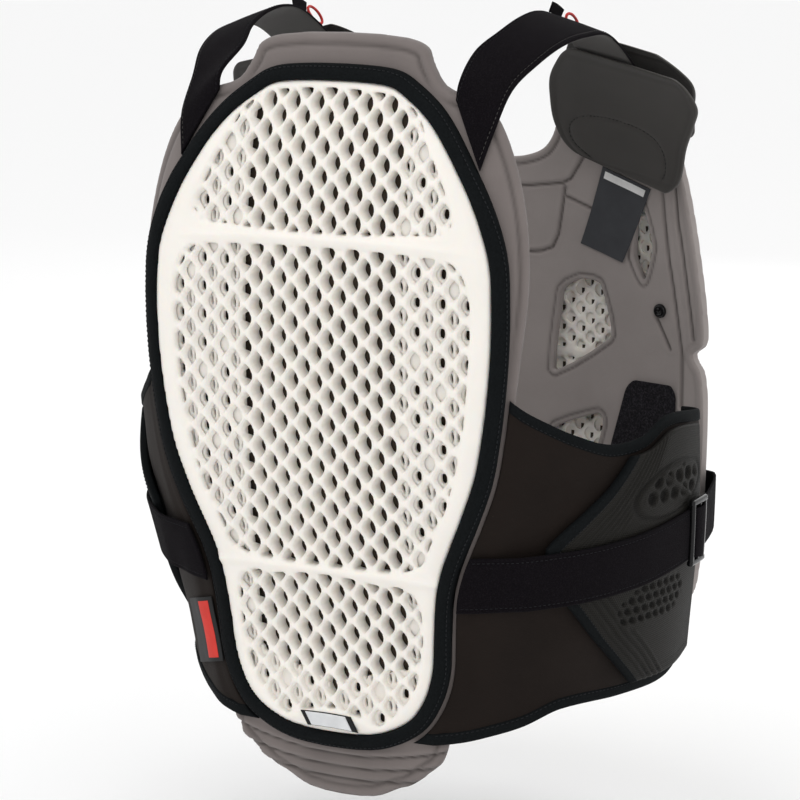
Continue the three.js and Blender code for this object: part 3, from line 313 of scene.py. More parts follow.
def ring_faces(rows, columns):
    """Faces of a tube of rings whose last ring meets its first."""
    last = rows * columns
    faces = grid_faces(rows + 1, columns, wrap=True)
    return [[i - last if i >= last else i for i in face] for face in faces]


def end_faces(rows, columns):
    """The two flat ends of a tube of rings."""
    return [list(range(columns)), list(range((rows - 1) * columns, rows * columns))[::-1]]


def sheet(name, size, place, count, edge=1.5, relief=None, thickness=3.0):
    """A closed sheet. place(u, v) gives a function of depth; its edges are round.
    size is (width, height) in millimetres, count the lines (across, down)."""
    us = spread(count[0], size[0], edge)
    vs = spread(count[1], size[1], edge)
    u, v = np.meshgrid(us, vs)
    away = from_border(u, v, size)
    full = roundness(away, edge) * thickness / 2
    rise = 0 if relief is None else relief(u, v)
    outer = place(u, v, thickness / 2 + full + rise)
    inner = place(u, v, thickness / 2 - full)
    rows, columns = u.shape
    points = np.concatenate([outer.reshape(-1, 3), inner.reshape(-1, 3)])
    faces = grid_faces(rows, columns) + grid_faces(rows, columns, rows * columns, flip=True)
    index = np.arange(rows * columns).reshape(rows, columns)
    ring = np.concatenate([index[0, :-1], index[:-1, -1], index[-1, :0:-1], index[:0:-1, 0]])
    ahead = np.roll(ring, -1)
    faces += np.stack([ahead, ring, ring + rows * columns, ahead + rows * columns], axis=1).tolist()
    piece = outward(make(name, points, faces))
    flat = np.stack([u * size[0], v * size[1], 0 * u], axis=-1).reshape(-1, 3)
    keep_flat(piece, np.concatenate([flat, flat]))
    # sunken relief is kept as groove depth, for painted shade in the materials that take it
    depth = np.clip(-(rise + 0 * u) / 1.5, 0, 1).ravel()
    keep_groove_shade(piece, np.concatenate([depth, 0 * depth]))
    return piece


def distance_inside(x, y, loop):
    """Signed distance to a closed loop of points, above 0 inside."""
    best = np.full(x.shape, 1e9)
    inside = np.zeros(x.shape, bool)
    for (ax, ay), (bx, by) in zip(loop, np.roll(loop, -1, axis=0)):
        dx, dy = bx - ax, by - ay
        t = np.clip(((x - ax) * dx + (y - ay) * dy) / max(dx * dx + dy * dy, 1e-9), 0, 1)
        best = np.minimum(best, (x - ax - t * dx) ** 2 + (y - ay - t * dy) ** 2)
        if ay != by:
            inside ^= ((ay > y) != (by > y)) & (x < ax + (y - ay) / (by - ay) * dx)
    return np.where(inside, 1, -1) * np.sqrt(best)


# The polygons of each case of a grid square, by its corners a b c d and its crossed edges e f g h
SQUARE_CASES = {
    1: ["aeh"], 2: ["bfe"], 3: ["abfh"], 4: ["cgf"], 5: ["aeh", "cgf"], 6: ["bcge"], 7: ["abcgh"],
    8: ["dhg"], 9: ["aegd"], 10: ["bfe", "dhg"], 11: ["abfgd"], 12: ["cdhf"], 13: ["aefcd"],
    14: ["bcdhe"], 15: ["abcd"],
}


def field_outline(field, x, y):
    """Corners, faces and border edges of the region where a field on a grid is above 0."""
    inside = field > 0
    index = np.full(field.shape, -1)
    index[inside] = np.arange(inside.sum())
    xs, ys, fs = [x[inside]], [y[inside]], [field[inside]]
    count = int(inside.sum())

    def crossed(low, high):
        nonlocal count
        cross = inside[low] != inside[high]
        t = field[low] / np.where(cross, field[low] - field[high], 1)
        t = np.clip(t, 0.08, 0.92)
        marks = np.full(cross.shape, -1)
        marks[cross] = count + np.arange(cross.sum())
        count += int(cross.sum())
        xs.append(mix(x[low], x[high], t)[cross])
        ys.append(mix(y[low], y[high], t)[cross])
        fs.append(np.zeros(cross.sum()))
        return marks

    level = crossed((slice(None), slice(None, -1)), (slice(None), slice(1, None)))
    upright = crossed((slice(None, -1), slice(None)), (slice(1, None), slice(None)))
    corner = {
        "a": index[:-1, :-1], "b": index[:-1, 1:], "c": index[1:, 1:], "d": index[1:, :-1],
        "e": level[:-1, :], "f": upright[:, 1:], "g": level[1:, :], "h": upright[:, :-1],
    }
    code = sum((corner[k] >= 0) * bit for k, bit in zip("abcd", (1, 2, 4, 8)))
    faces, border = [], []
    for case, polygons in SQUARE_CASES.items():
        here = code == case
        if not here.any():
            continue
        for polygon in polygons:
            picked = np.stack([corner[k][here] for k in polygon], axis=1)
            faces += picked.tolist()
            for k in range(len(polygon)):
                if polygon[k] in "efgh" and polygon[(k + 1) % len(polygon)] in "efgh":
                    border.append(picked[:, [k, (k + 1) % len(polygon)]])
    border = np.concatenate(border)
    return np.concatenate(xs), np.concatenate(ys), np.concatenate(fs), faces, border


def field_panel(name, step, box, field_of, place, top_of, base_of, draft_of=None, groove_shade_of=None):
    """A closed panel over the region where a field is above 0, from a base depth to a top depth.
    draft_of gives where the points of the base lie, for walls that lean."""
    x0, x1, y0, y1 = box
    gx, gy = np.meshgrid(np.arange(x0, x1 + step, step), np.arange(y0, y1 + step, step))
    field = field_of(gx, gy)
    field[0, :] = field[-1, :] = field[:, 0] = field[:, -1] = -1
    x, y, f, faces, border = field_outline(field, gx, gy)
    count = len(x)
    top = place(x, y, top_of(x, y, f))
    foot_x, foot_y = (x, y) if draft_of is None else draft_of(x, y, f)
    base = place(foot_x, foot_y, base_of(x, y, f))
    walls = np.stack([border[:, 1], border[:, 0], border[:, 0] + count, border[:, 1] + count], axis=1)
    under = [[i + count for i in reversed(face)] for face in faces]
    piece = make(name, np.concatenate([top, base]), faces + under + walls.tolist())
    flat = np.stack([x, y, 0 * x], axis=-1)
    keep_flat(piece, np.concatenate([flat, flat]))
    # groove depth for painted shade, where the panel gives one
    if groove_shade_of is not None:
        groove_shade = groove_shade_of(x, y, f)
        keep_groove_shade(piece, np.concatenate([groove_shade, groove_shade]))
    outward(piece)
    crisp_foot(piece, f, count)
    return piece


def crisp_foot(piece, f, count):
    """A sharp edge between the walls and the base of a panel."""
    ends = np.zeros(len(piece.data.edges) * 2, np.int32)
    piece.data.edges.foreach_get("vertices", ends)
    ends = ends.reshape(-1, 2)
    border = np.concatenate([np.zeros(count, bool), f == 0])
    sharp = border[ends].all(axis=1)
    layer = piece.data.attributes.new("sharp_edge", "BOOLEAN", "EDGE")
    layer.data.foreach_set("value", sharp)


def sweep(name, path, out, section, closed=False):
    """A bar of a flat section carried along a path; out is the section's second axis."""
    path, out = np.asarray(path, float), np.asarray(out, float)
    if closed:
        way = np.roll(path, -1, axis=0) - np.roll(path, 1, axis=0)
    else:
        way = np.gradient(path, axis=0)
    way /= np.linalg.norm(way, axis=1, keepdims=True)
    out = out - way * np.sum(out * way, axis=1, keepdims=True)
    out /= np.linalg.norm(out, axis=1, keepdims=True)
    across = np.cross(way, out)
    section = np.asarray(section, float)
    rings = path[:, None] + across[:, None] * section[None, :, :1] + out[:, None] * section[None, :, 1:]
    rows, columns = rings.shape[:2]
    if closed:
        faces = ring_faces(rows, columns)
    else:
        faces = grid_faces(rows, columns, wrap=True) + end_faces(rows, columns)
    return outward(make(name, rings.reshape(-1, 3), faces))


def circle(radius, count):
    turn = np.arange(count) * 2 * np.pi / count
    return np.stack([np.cos(turn), np.sin(turn)], axis=1) * radius


def resample(path, step, *others):
    """The same path with even steps; other rows of values are carried along."""
    length = np.concatenate([[0], np.cumsum(np.linalg.norm(np.diff(path, axis=0), axis=1))])
    count = max(int(round(length[-1] / step)), 2)
    at = np.linspace(0, length[-1], count + 1)
    rows = [np.stack([np.interp(at, length, row[:, k]) for k in range(row.shape[1])], axis=1)
            for row in (path, *others)]
    return rows if others else rows[0]


def stitches(name, path, out, length=2.6, gap=1.2, radius=0.35, sides=4):
    """A row of short threads lying along a path, as one mesh."""
    path, out = resample(np.asarray(path, float), length + gap, np.asarray(out, float))
    turn = np.arange(sides) * 2 * np.pi / sides
    ring_at = np.array([-0.5, -0.32, 0.0, 0.32, 0.5]) * length
    ring_size = np.array([0.35, 0.95, 1.0, 0.95, 0.35]) * radius
    ring_lift = np.array([-0.9, -0.1, 0.15, -0.1, -0.9]) * radius
    points, faces = [], []
    for k in range(len(path) - 1):
        middle = (path[k] + path[k + 1]) / 2
        way = path[k + 1] - path[k]
        way /= np.linalg.norm(way)
        up = out[k] - way * np.dot(out[k], way)
        up /= np.linalg.norm(up)
        across = np.cross(way, up)
        start = len(points) * sides
        for at, size, lift in zip(ring_at, ring_size, ring_lift):
            ring = middle + way * at + up * lift
            points.append(ring + size * (np.cos(turn)[:, None] * across + np.sin(turn)[:, None] * up))
        faces += grid_faces(len(ring_at), sides, start, wrap=True)
        faces += [list(range(start, start + sides))[::-1]]
        faces += [list(range(start + 4 * sides, start + 5 * sides))]
    return outward(make(name, np.concatenate(points), faces))


def stored(piece, name, kind, width):
    """Values of a point attribute of a mesh, or zeros where it has none."""
    values = np.zeros(len(piece.data.vertices) * width, np.float32)
    layer = piece.data.attributes.get(name)
    if layer:
        layer.data.foreach_get(kind, values)
    return values.reshape(-1, width).astype(float)


def flat_places(piece):
    """The stored flat coordinates, in millimetres."""
    return stored(piece, "flat", "vector", 3) / MM


def mark_faces(piece, marks):
    """Set which of its materials each face of a mesh has."""
    piece.data.polygons.foreach_set("material_index", np.asarray(marks, np.int32))


def join(name, pieces, looks=None):
    """Several meshes as one object; looks gives the place of each one's material."""
    points, faces, flats, marks, groove_shades = [], [], [], [], []
    start = 0
    for piece, look in zip(pieces, looks or range(len(pieces))):
        mesh = piece.data
        points += [vertex.co / MM for vertex in mesh.vertices]
        faces += [[i + start for i in polygon.vertices] for polygon in mesh.polygons]
        marks += [look] * len(mesh.polygons)
        flats.append(flat_places(piece))
        groove_shades.append(stored(piece, "groove_shade", "value", 1))
        start += len(mesh.vertices)
        bpy.data.objects.remove(piece)
    whole = make(name, points, faces)
    keep_flat(whole, np.concatenate(flats))
    keep_groove_shade(whole, np.concatenate(groove_shades))
    mark_faces(whole, marks)
    return whole


# Materials
def shader(name, colour, roughness):
    """A material with its nodes: returns the material, its node tree and its shader."""
    material = bpy.data.materials.new(name)
    material.use_nodes = True
    tree = material.node_tree
    bsdf = tree.nodes["Principled BSDF"]
    bsdf.inputs["Base Color"].default_value = (*colour, 1)
    bsdf.inputs["Roughness"].default_value = roughness
    return material, tree, bsdf


def flat_coordinates(tree):
    node = tree.nodes.new("ShaderNodeAttribute")
    node.attribute_name = "flat"
    return node.outputs["Vector"]


def space_coordinates(tree):
    return tree.nodes.new("ShaderNodeTexCoord").outputs["Object"]


def noise(tree, place, scale, detail=3.0, rough=0.55):
    node = tree.nodes.new("ShaderNodeTexNoise")
    node.inputs["Scale"].default_value = scale
    node.inputs["Detail"].default_value = detail
    node.inputs["Roughness"].default_value = rough
    tree.links.new(place, node.inputs["Vector"])
    return node.outputs["Fac"]


def wave(tree, place, scale, direction):
    node = tree.nodes.new("ShaderNodeTexWave")
    node.bands_direction = direction
    node.inputs["Scale"].default_value = scale
    tree.links.new(place, node.inputs["Vector"])
    return node.outputs["Fac"]


def maths(tree, kind, a, b):
    node = tree.nodes.new("ShaderNodeMath")
    node.operation = kind
    for socket, value in zip(node.inputs, (a, b)):
        if isinstance(value, (int, float)):
            socket.default_value = value
        else:
            tree.links.new(value, socket)
    return node.outputs[0]


def ramp(tree, factor, low, high, start=0.3, end=0.7):
    node = tree.nodes.new("ShaderNodeValToRGB")
    node.color_ramp.elements[0].position = start
    node.color_ramp.elements[0].color = (*low, 1)
    node.color_ramp.elements[1].position = end
    node.color_ramp.elements[1].color = (*high, 1)
    tree.links.new(factor, node.inputs["Fac"])
    return node.outputs["Color"]


def paint_groove_shade(tree, bsdf, colour, amount):
    """Painted shade: colour that goes darker in grooves, by the stored groove depth."""
    attribute = tree.nodes.new("ShaderNodeAttribute")
    attribute.attribute_name = "groove_shade"
    node = tree.nodes.new("ShaderNodeMix")
    node.data_type = "RGBA"
    node.blend_type = "MULTIPLY"
    sockets = [s for s in node.inputs if s.enabled]
    named = {s.name: s for s in sockets}
    tree.links.new(maths(tree, "MULTIPLY", attribute.outputs["Fac"], amount), named["Factor"])
    tree.links.new(colour, named["A"])
    # the colour that the painted shade in grooves goes towards
    named["B"].default_value = (0.12, 0.1, 0.09, 1)
    result = [s for s in node.outputs if s.enabled][0]
    tree.links.new(result, bsdf.inputs["Base Color"])


def bump(tree, bsdf, height, depth, strength):
    node = tree.nodes.new("ShaderNodeBump")
    node.inputs["Strength"].default_value = strength
    node.inputs["Distance"].default_value = depth
    tree.links.new(height, node.inputs["Height"])
    tree.links.new(node.outputs["Normal"], bsdf.inputs["Normal"])


def shades(colour, spread_by):
    return [tuple(c * k for c in colour) for k in (1 - spread_by, 1 + spread_by)]


def paint(tree, bsdf, fac, colours, groove=None):
    """The base colour, between two colours, with painted shade in grooves where groove says how much."""
    colour = ramp(tree, fac, *colours)
    if groove:
        paint_groove_shade(tree, bsdf, colour, groove)
    else:
        tree.links.new(colour, bsdf.inputs["Base Color"])


def shell_material():
    colour = (0.82, 0.787, 0.735)
    material, tree, bsdf = shader("shell_white", colour, 0.4)
    place = space_coordinates(tree)
    paint(tree, bsdf, noise(tree, place, 25, 4), shades(colour, 0.02))
    fine = ramp(tree, noise(tree, place, 60, 3), (0.36,) * 3, (0.46,) * 3)
    tree.links.new(fine, bsdf.inputs["Roughness"])
    bump(tree, bsdf, noise(tree, place, 900, 2), 0.00008, 0.5)
    bsdf.inputs["Subsurface Weight"].default_value = 0.3
    bsdf.inputs["Subsurface Radius"].default_value = (0.007, 0.0045, 0.0028)
    return material


def soft_material(name, colour, roughness, mottle, height, depth, strength, specular=0.2,
                  sheen=(0, 0.5), groove=None):
    """Foam or cloth. mottle is the scale, detail and spread of its colour; height makes its grain;
    sheen is a weight and a roughness."""
    material, tree, bsdf = shader(name, colour, roughness)
    place = space_coordinates(tree)
    scale, detail, spread_by = mottle
    paint(tree, bsdf, noise(tree, place, scale, detail), shades(colour, spread_by), groove)
    bump(tree, bsdf, height(tree, place), depth, strength)
    bsdf.inputs["Specular IOR Level"].default_value = specular
    bsdf.inputs["Sheen Weight"].default_value = sheen[0]
    bsdf.inputs["Sheen Roughness"].default_value = sheen[1]
    return material


def fine_grain(scale):
    return lambda tree, place: noise(tree, place, scale, 2)


def foam_grain(tree, place):
    return maths(tree, "ADD", noise(tree, place, 1500, 2), noise(tree, place, 420, 2))


def knit_grain(tree, place):
    flat = flat_coordinates(tree)
    knit = maths(tree, "MULTIPLY", wave(tree, flat, 330, "X"), wave(tree, flat, 330, "Y"))
    return maths(tree, "ADD", knit, noise(tree, place, 1200, 2))


def foam_material(name, colour):
    # the last figure sets how dark the painted shade in grooves goes
    return soft_material(name, colour, 0.85, (14, 5, 0.09), foam_grain, 0.00018, 0.6, 0.3, (0.15, 0.6), 0.75)


def plain_cloth(name, colour, roughness):
    return soft_material(name, colour, roughness, (60, 4, 0.1), fine_grain(1600), 0.00012, 0.5)


def speck_material(name, colours, roughness, speck, span, depth, strength, specular, sheen):
    """Woven or hooked cloth: bright specks on near black. speck is the noise's scale, detail and
    roughness, and span the part of it that goes from dark to bright."""
    material, tree, bsdf = shader(name, colours[0], roughness)
    specks = noise(tree, space_coordinates(tree), *speck)
    tree.links.new(ramp(tree, specks, *colours[1:], *span), bsdf.inputs["Base Color"])
    bump(tree, bsdf, specks, depth, strength)
    bsdf.inputs["Sheen Weight"].default_value = sheen
    bsdf.inputs["Specular IOR Level"].default_value = specular
    return material


def side_pad_material():
    colour = (0.0085, 0.0078, 0.0066)
    material, tree, bsdf = shader("side_pad_woven", colour, 0.55)
    flat = flat_coordinates(tree)
    weave = maths(tree, "MAXIMUM", wave(tree, flat, 190, "X"), wave(tree, flat, 190, "Y"))
    # the weave, with painted shade in the pad's hollows
    paint(tree, bsdf, weave, shades(colour, 0.4), 0.8)
    bump(tree, bsdf, weave, 0.0004, 0.7)
    bsdf.inputs["Specular IOR Level"].default_value = 0.1
    return material


def buckle_material():
    material, tree, bsdf = shader("buckle_black", (0.005, 0.005, 0.0055), 0.14)
    space = space_coordinates(tree)
    tree.links.new(ramp(tree, noise(tree, space, 90, 3), (0.1,) * 3, (0.2,) * 3), bsdf.inputs["Roughness"])
    bump(tree, bsdf, noise(tree, space, 500, 2), 0.00005, 0.4)
    bsdf.inputs["Specular IOR Level"].default_value = 0.22
    return material


def cord_material():
    material, tree, bsdf = shader("cord_red", (0.6, 0.02, 0.015), 0.6)
    space = space_coordinates(tree)
    paint(tree, bsdf, noise(tree, space, 900, 2), ((0.42, 0.012, 0.01), (0.7, 0.03, 0.02)))
    bump(tree, bsdf, wave(tree, space, 500, "DIAGONAL"), 0.0003, 0.8)
    return material


MATERIALS = {
    "plate": shell_material(),
    "foam": foam_material("foam_grey", (0.158, 0.135, 0.128)),
    # the back foam painted lighter, to stand in for the light that the chest foam's shaded inside lacks
    "chest_foam": foam_material("foam_chest_lightened", (0.27, 0.24, 0.229)),
    "dark_foam": foam_material("foam_dark", (0.036, 0.024, 0.0145)),
    "binding": soft_material("binding_tape", (0.0042, 0.0052, 0.0058), 0.85, (700, 3, 0.35),
                             fine_grain(1400), 0.0003, 0.8, 0.08),
    "webbing": speck_material(
        "webbing_black", [(0.006, 0.0048, 0.0062), (0.0032, 0.0024, 0.0034), (0.017, 0.0145, 0.0175)],
        0.95, (1100, 4, 0.85), (0.48, 0.8), 0.0006, 0.8, 0.05, 0.01),
    "pile": speck_material(
        "hook_pile", [(0.007, 0.0065, 0.009), (0.004, 0.0036, 0.0052), (0.05, 0.045, 0.055)],
        0.9, (620, 3, 0.8), (0.46, 0.78), 0.001, 1.0, 0.2, 0),
    "wing": soft_material("wing_cloth", (0.0095, 0.0062, 0.0048), 0.8, (20, 4, 0.16),
                          knit_grain, 0.00025, 0.5, 0.12, (0.02, 0.5)),
    "side_pad": side_pad_material(),
    # the last figure sets how dark the painted shade in grooves goes
    "pad": soft_material("pad_charcoal", (0.03, 0.0272, 0.0243), 0.62, (18, 4, 0.12),
                         fine_grain(1300), 0.0002, 0.5, 0.4, (0.1, 0.5), 0.7),
    "buckle": buckle_material(),
    "cord": cord_material(),
    "label": plain_cloth("label_satin", (0.045, 0.047, 0.052), 0.5),
    "label_black": plain_cloth("label_black", (0.007, 0.007, 0.0075), 0.6),
    "label_white": plain_cloth("label_white", (0.75, 0.75, 0.74), 0.6),
    "label_red": plain_cloth("label_red", (0.55, 0.03, 0.02), 0.6),
    "badge": plain_cloth("badge_silver", (0.62, 0.63, 0.64), 0.3),
    "thread": plain_cloth("thread_dark", (0.013, 0.014, 0.016), 0.8),
}


def finish_piece(piece, looks, slot, *nodes):
    """Give a piece its materials and its body, and hide the model nodes that it stands for; slot is not
    used.
    """
    for look in [looks] if isinstance(looks, str) else looks:
        piece.data.materials.append(MATERIALS[look])
    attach(piece, "root")
    if nodes:
        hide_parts(*nodes)


def thin_out(piece, share):
    """Fewer faces where the surface is plain, so that grooves and edges keep theirs."""
    modifier = piece.modifiers.new("thin_out", "DECIMATE")
    modifier.ratio = share
    bpy.context.view_layer.update()
    thinned = piece.evaluated_get(bpy.context.evaluated_depsgraph_get())
    mesh = bpy.data.meshes.new_from_object(thinned)
    piece.modifiers.clear()
    piece.data = mesh


SIDES = ((1, "left"), (-1, "right"))

# The back plate, its rim and lattice
PLATE_LOW = PLATE_TOP - PLATE_HEIGHT
RIM_TOP = 7.9
LATTICE_TOP = 6.6
LATTICE_BASE = -4.6
INNER_LAYER = dict(start=63.8, top=1.2, base=-2.6, drop_base=2.6)
CELL = dict(pitch=9.85, rise=20.8, width=11.0, height=16.8, power=2.0)
INNER_HOLE = dict(width=4.6, height=7.2)
INNER_SLIT = dict(width=2.3, height=8.5, apart=2.5, lean=0.16)


# Each window of the plate: half its width by height, its top and bottom edges by the share across
WINDOWS = [
    dict(
        down=[45, 50, 58, 68, 80, 92, 106, 120, 131, 139], half=[50, 62, 72, 78, 83, 90, 97, 104, 106, 98],
        across=[0, 0.35, 0.6, 0.85, 1.0], top=[41, 43, 48, 56, 62], low=[143.5, 143, 142, 139, 134],
    ),
    dict(
        down=[157, 165, 176, 193, 216, 243, 273, 304, 334, 361, 377, 384],
        half=[104, 114, 119, 122, 121.5, 119.5, 116.5, 110, 101, 88, 80, 66],
        across=[0, 0.4, 0.7, 0.9, 1.0], top=[152.5, 153, 155, 158, 163], low=[387, 386, 383, 379, 374],
    ),
    dict(
        down=[396, 403, 419, 441, 463, 479, 492, 500, 505], half=[60, 73, 77, 76, 72, 66, 57, 48, 36],
        across=[0, 0.3, 0.6, 0.85, 1.0], top=[393, 394, 396.5, 400, 406], low=[496, 500, 505, 500, 486],
    ),
]


def window_loop(window):
    """The closed outline of a window, from its sides, its top and its bottom."""
    downs, halves = np.array(window["down"], float), np.array(window["half"], float)
    side = np.stack([halves, -downs], axis=1)
    shares = np.array([-0.8, -0.4, 0, 0.4, 0.8])

    def edge(half, column):
        across = np.abs(shares) * half / halves.max()
        return np.stack([shares * half, -read(window, "across", across, column)], axis=1)

    top, low = edge(halves[0], "top"), edge(halves[-1], "low")
    return closed_curve(np.vstack([top, side, low[::-1], (side * [-1, 1])[::-1]]), 4)


def from_cell(x, y, column, cell):
    """The cell's row in a column, and the place measured from its middle."""
    shift = np.where(np.mod(column, 2) == 1, 0.5, 0.0) * cell["rise"]
    row = np.round((y - shift) / cell["rise"])
    return row, x - column * cell["pitch"], y - shift - row * cell["rise"]


def cell_distance(x, y, cell):
    """Distance inside the nearest almond cell of staggered columns, above 0 inside."""
    best = np.full(x.shape, -1e9)
    first = np.floor(x / cell["pitch"])
    for column in (first - 1, first, first + 1, first + 2):
        _, across, up = from_cell(x, y, column, cell)
        u = np.abs(across) / (cell["width"] / 2)
        v = np.abs(up) / (cell["height"] / 2)
        power = cell["power"]
        g = u + v**power - 1
        slope = np.hypot(2 / cell["width"], power * np.maximum(v, 0.05) ** (power - 1) * 2 / cell["height"])
        best = np.maximum(best, -g / slope)
    return best


def leaning(x, y, f, cell, reach, inside):
    """Places moved into the nearest cell, most at its border."""
    e = 0.3
    way_x = cell_distance(x + e, y, cell) - cell_distance(x - e, y, cell)
    way_y = cell_distance(x, y + e, cell) - cell_distance(x, y - e, cell)
    length = np.maximum(np.hypot(way_x, way_y), 1e-6)
    move = reach * smoothstep(1.5, 0, f) * smoothstep(0.5, 3, inside) / length
    return x + way_x * move, y + way_y * move


def soft_max(a, b, k):
    """The larger of two fields, with a fillet of about k where they meet."""
    h = np.clip(0.5 + 0.5 * (a - b) / k, 0, 1)
    return b * (1 - h) + a * h + k * h * (1 - h)


class Plate:
    """Fields of the back plate on its flat surface."""

    def __init__(self):
        self.edge = mirrored_loop(PLATE_OUTLINE, PLATE_TOP, PLATE_HEIGHT, 5)
        self.windows = [window_loop(w) for w in WINDOWS]

    def window(self, x, y):
        """Distance inside the nearest window."""
        return np.max([distance_inside(x, y, loop) for loop in self.windows], axis=0)

    def outside(self, x, y):
        return distance_inside(x, y, self.edge)


plate = Plate()


def crossbar_ridge(x, y):
    """A low soft ridge along the upper part of each crossbar."""
    rise = np.zeros(np.shape(x))
    for upper, lower in ((140, 154), (384.5, 394)):
        middle = -(upper + lower) / 2 - 2.5 * (np.abs(x) / 100) ** 2
        rise = rise + 1.6 * hump(y - middle, 2.8) * smoothstep(128, 92, np.abs(x))
    return rise


def plate_top(x, y, f):
    inside = plate.window(x, y)
    blend = smoothstep(2.0, -2.2, inside)
    edge = plate.outside(x, y)
    rim = RIM_TOP - 1.2 * smoothstep(9, 0, edge) + crossbar_ridge(x, y)
    return mix(LATTICE_TOP, rim, blend) - round_fall(f, mix(1.7, 2.0, blend))


def level(height):
    """The same height everywhere."""
    return lambda x, y, f: np.full(np.shape(x), height)


def plate_base(x, y, f):
    deep = mix(LATTICE_BASE, INNER_LAYER["drop_base"], smoothstep(62, 65, np.abs(x)))
    inside = plate.window(x, y)
    return mix(1.2, deep, smoothstep(-4, -1, inside))


def make_back_plate():
    def field(x, y):
        strut = -cell_distance(x, y, CELL)
        rim = -plate.window(x, y)
        return np.minimum(soft_max(rim, strut, 2.4), plate.outside(x, y))

    def draft(x, y, f):
        return leaning(x, y, f, CELL, 1.4, plate.window(x, y))

    half = PLATE_WIDTH / 2 + 2
    box = (-half, half, PLATE_LOW - 2, PLATE_TOP + 2)
    piece = field_panel("back_plate_shell", 1.65, box, field, back_point, plate_top, plate_base, draft)
    finish_piece(piece, "plate", "plate", "back_plate")


def make_inner_layer():
    """The pierced backing, seen through the lattice near the sides."""
    def hole(x, y):
        """Distance inside the nearest hole: one to a cell, squares and slits by turns."""
        column = np.round(x / CELL["pitch"])
        row, u, v = from_cell(x, y, column, CELL)
        across, up = 2 * np.abs(u) / INNER_HOLE["width"], 2 * np.abs(v) / INNER_HOLE["height"]
        square = 1 - (across**3 + up**3) ** (1 / 3)
        lean = np.abs(u) - INNER_SLIT["apart"] - INNER_SLIT["lean"] * v
        slit = 1 - np.hypot(2 * lean / INNER_SLIT["width"], 2 * v / INNER_SLIT["height"])
        closed = np.mod(column * 5 + row * 3, 7) == 0
        even = np.mod(column, 2) == 0
        found = np.where(even, square * INNER_HOLE["width"] / 2, slit * INNER_SLIT["width"] / 2)
        return np.where(closed, -2.0, found)

    def field(x, y):
        low = smoothstep(-455, -478, y) * 60
        zone = np.maximum(np.abs(x) - INNER_LAYER["start"] + low, -30)
        inside = plate.window(x, y) + 6
        return np.minimum(np.minimum(-hole(np.abs(x), y), zone), inside)

    def top(x, y, f):
        return INNER_LAYER["top"] - round_fall(f, 1.2)

    half = PLATE_WIDTH / 2
    box = (-half, half, PLATE_LOW + 8, PLATE_TOP - 2)
    piece = field_panel("back_plate_inner", 1.55, box, field, back_point, top,
                        level(INNER_LAYER["base"]))
    finish_piece(piece, "plate", "plate")


def ring_offset(loop, offset):
    """A closed loop moved outwards."""
    way = np.roll(loop, -1, axis=0) - np.roll(loop, 1, axis=0)
    way /= np.linalg.norm(way, axis=1, keepdims=True)
    out = np.stack([way[:, 1], -way[:, 0]], axis=1)
    middle = loop.mean(axis=0)
    sign = np.sign(np.sum(out * (loop - middle), axis=1).sum())
    return loop + out * sign * offset


BINDING = dict(width=11.5, start=0.3, seat=0.9, height=8.0)
BINDING_SECTION = dict(
    out=[0, -0.02, 0.02, 0.12, 0.3, 0.5, 0.68, 0.76, 0.8, 0.84, 0.92, 0.98, 1.0, 1.0, 0.7, 0.3],
    up=[0, 0.6, 0.88, 0.99, 1.03, 1.0, 0.93, 0.84, 0.8, 0.8, 0.76, 0.6, 0.35, 0, 0, 0],
)


def even_loop(loop, step):
    ring = np.vstack([loop, loop[:1]])
    return resample(ring, step)[:-1]


def make_binding():
    loop = even_loop(plate.edge, 3.2)
    rings = []
    for out, up in zip(BINDING_SECTION["out"], BINDING_SECTION["up"]):
        ring = ring_offset(loop, BINDING["start"] + out * BINDING["width"])
        ripple = 0.12 * np.sin(np.arange(len(ring)) * 0.9) * up
        rings.append(back_point(ring[:, 0], ring[:, 1], BINDING["seat"] + up * BINDING["height"] + ripple))
    rings = np.stack(rings, axis=1)
    body = outward(make("binding_body", rings.reshape(-1, 3), ring_faces(*rings.shape[:2])))
    groove = ring_offset(loop, BINDING["start"] + 0.82 * BINDING["width"])
    groove = np.vstack([groove, groove[:1]])
    at = back_point(groove[:, 0], groove[:, 1], BINDING["seat"] + 0.84 * BINDING["height"])
    up = back_point(groove[:, 0], groove[:, 1], BINDING["seat"] + BINDING["height"] + 4) - at
    thread = stitches("binding_thread", at, up, 2.4, 1.3, 0.42)
    piece = join("back_binding_tape", [body, thread])
    finish_piece(piece, ("binding", "thread"), "binding", "back_binding")


# The back foam
FOAM_OUTLINE = dict(
    down=[0.01, 0.022, 0.04, 0.068, 0.086, 0.112, 0.16, 0.23, 0.31, 0.4, 0.48, 0.6, 0.75, 0.88, 0.92,
          0.943, 0.95, 0.964, 0.969, 0.984, 0.989, 1.006],
    half=[0.37, 0.5, 0.535, 0.62, 0.84, 0.965, 1.075, 1.16, 1.19, 1.15, 1.1, 0.99, 0.78, 0.69, 0.67,
          0.635, 0.61, 0.53, 0.51, 0.42, 0.36, 0.2],
)
FOAM_THICKNESS = 10
TAIL_TOP = -505
TAIL_LINES = ((-532.0, 9.0, 1.6), (-542.0, 8.0, 1.5), (-551.5, 7.0, 1.6))


def tail_line(x, start, bow):
    return start + bow * (np.abs(x) / 75) ** 2


def tail_creases(x, y):
    """How near a place is to the foot of a step, up to 1 in the crease."""
    near = np.zeros(np.shape(x))
    for start, bow, _ in TAIL_LINES:
        near = np.maximum(near, hump(y - tail_line(x, start, bow) + 0.8, 1.3))
    return near


def tail_steps(x, y):
    """Depth of the tail's rounded steps."""
    depth = np.zeros(np.shape(x))
    for start, bow, fall in TAIL_LINES:
        above = y - tail_line(x, start, bow)
        depth = depth - fall * smoothstep(0.6, -1.0, above)
        depth = depth + 1.2 * hump(above - 3.0, 2.2) - 1.3 * hump(above + 1.0, 0.9)
    return depth


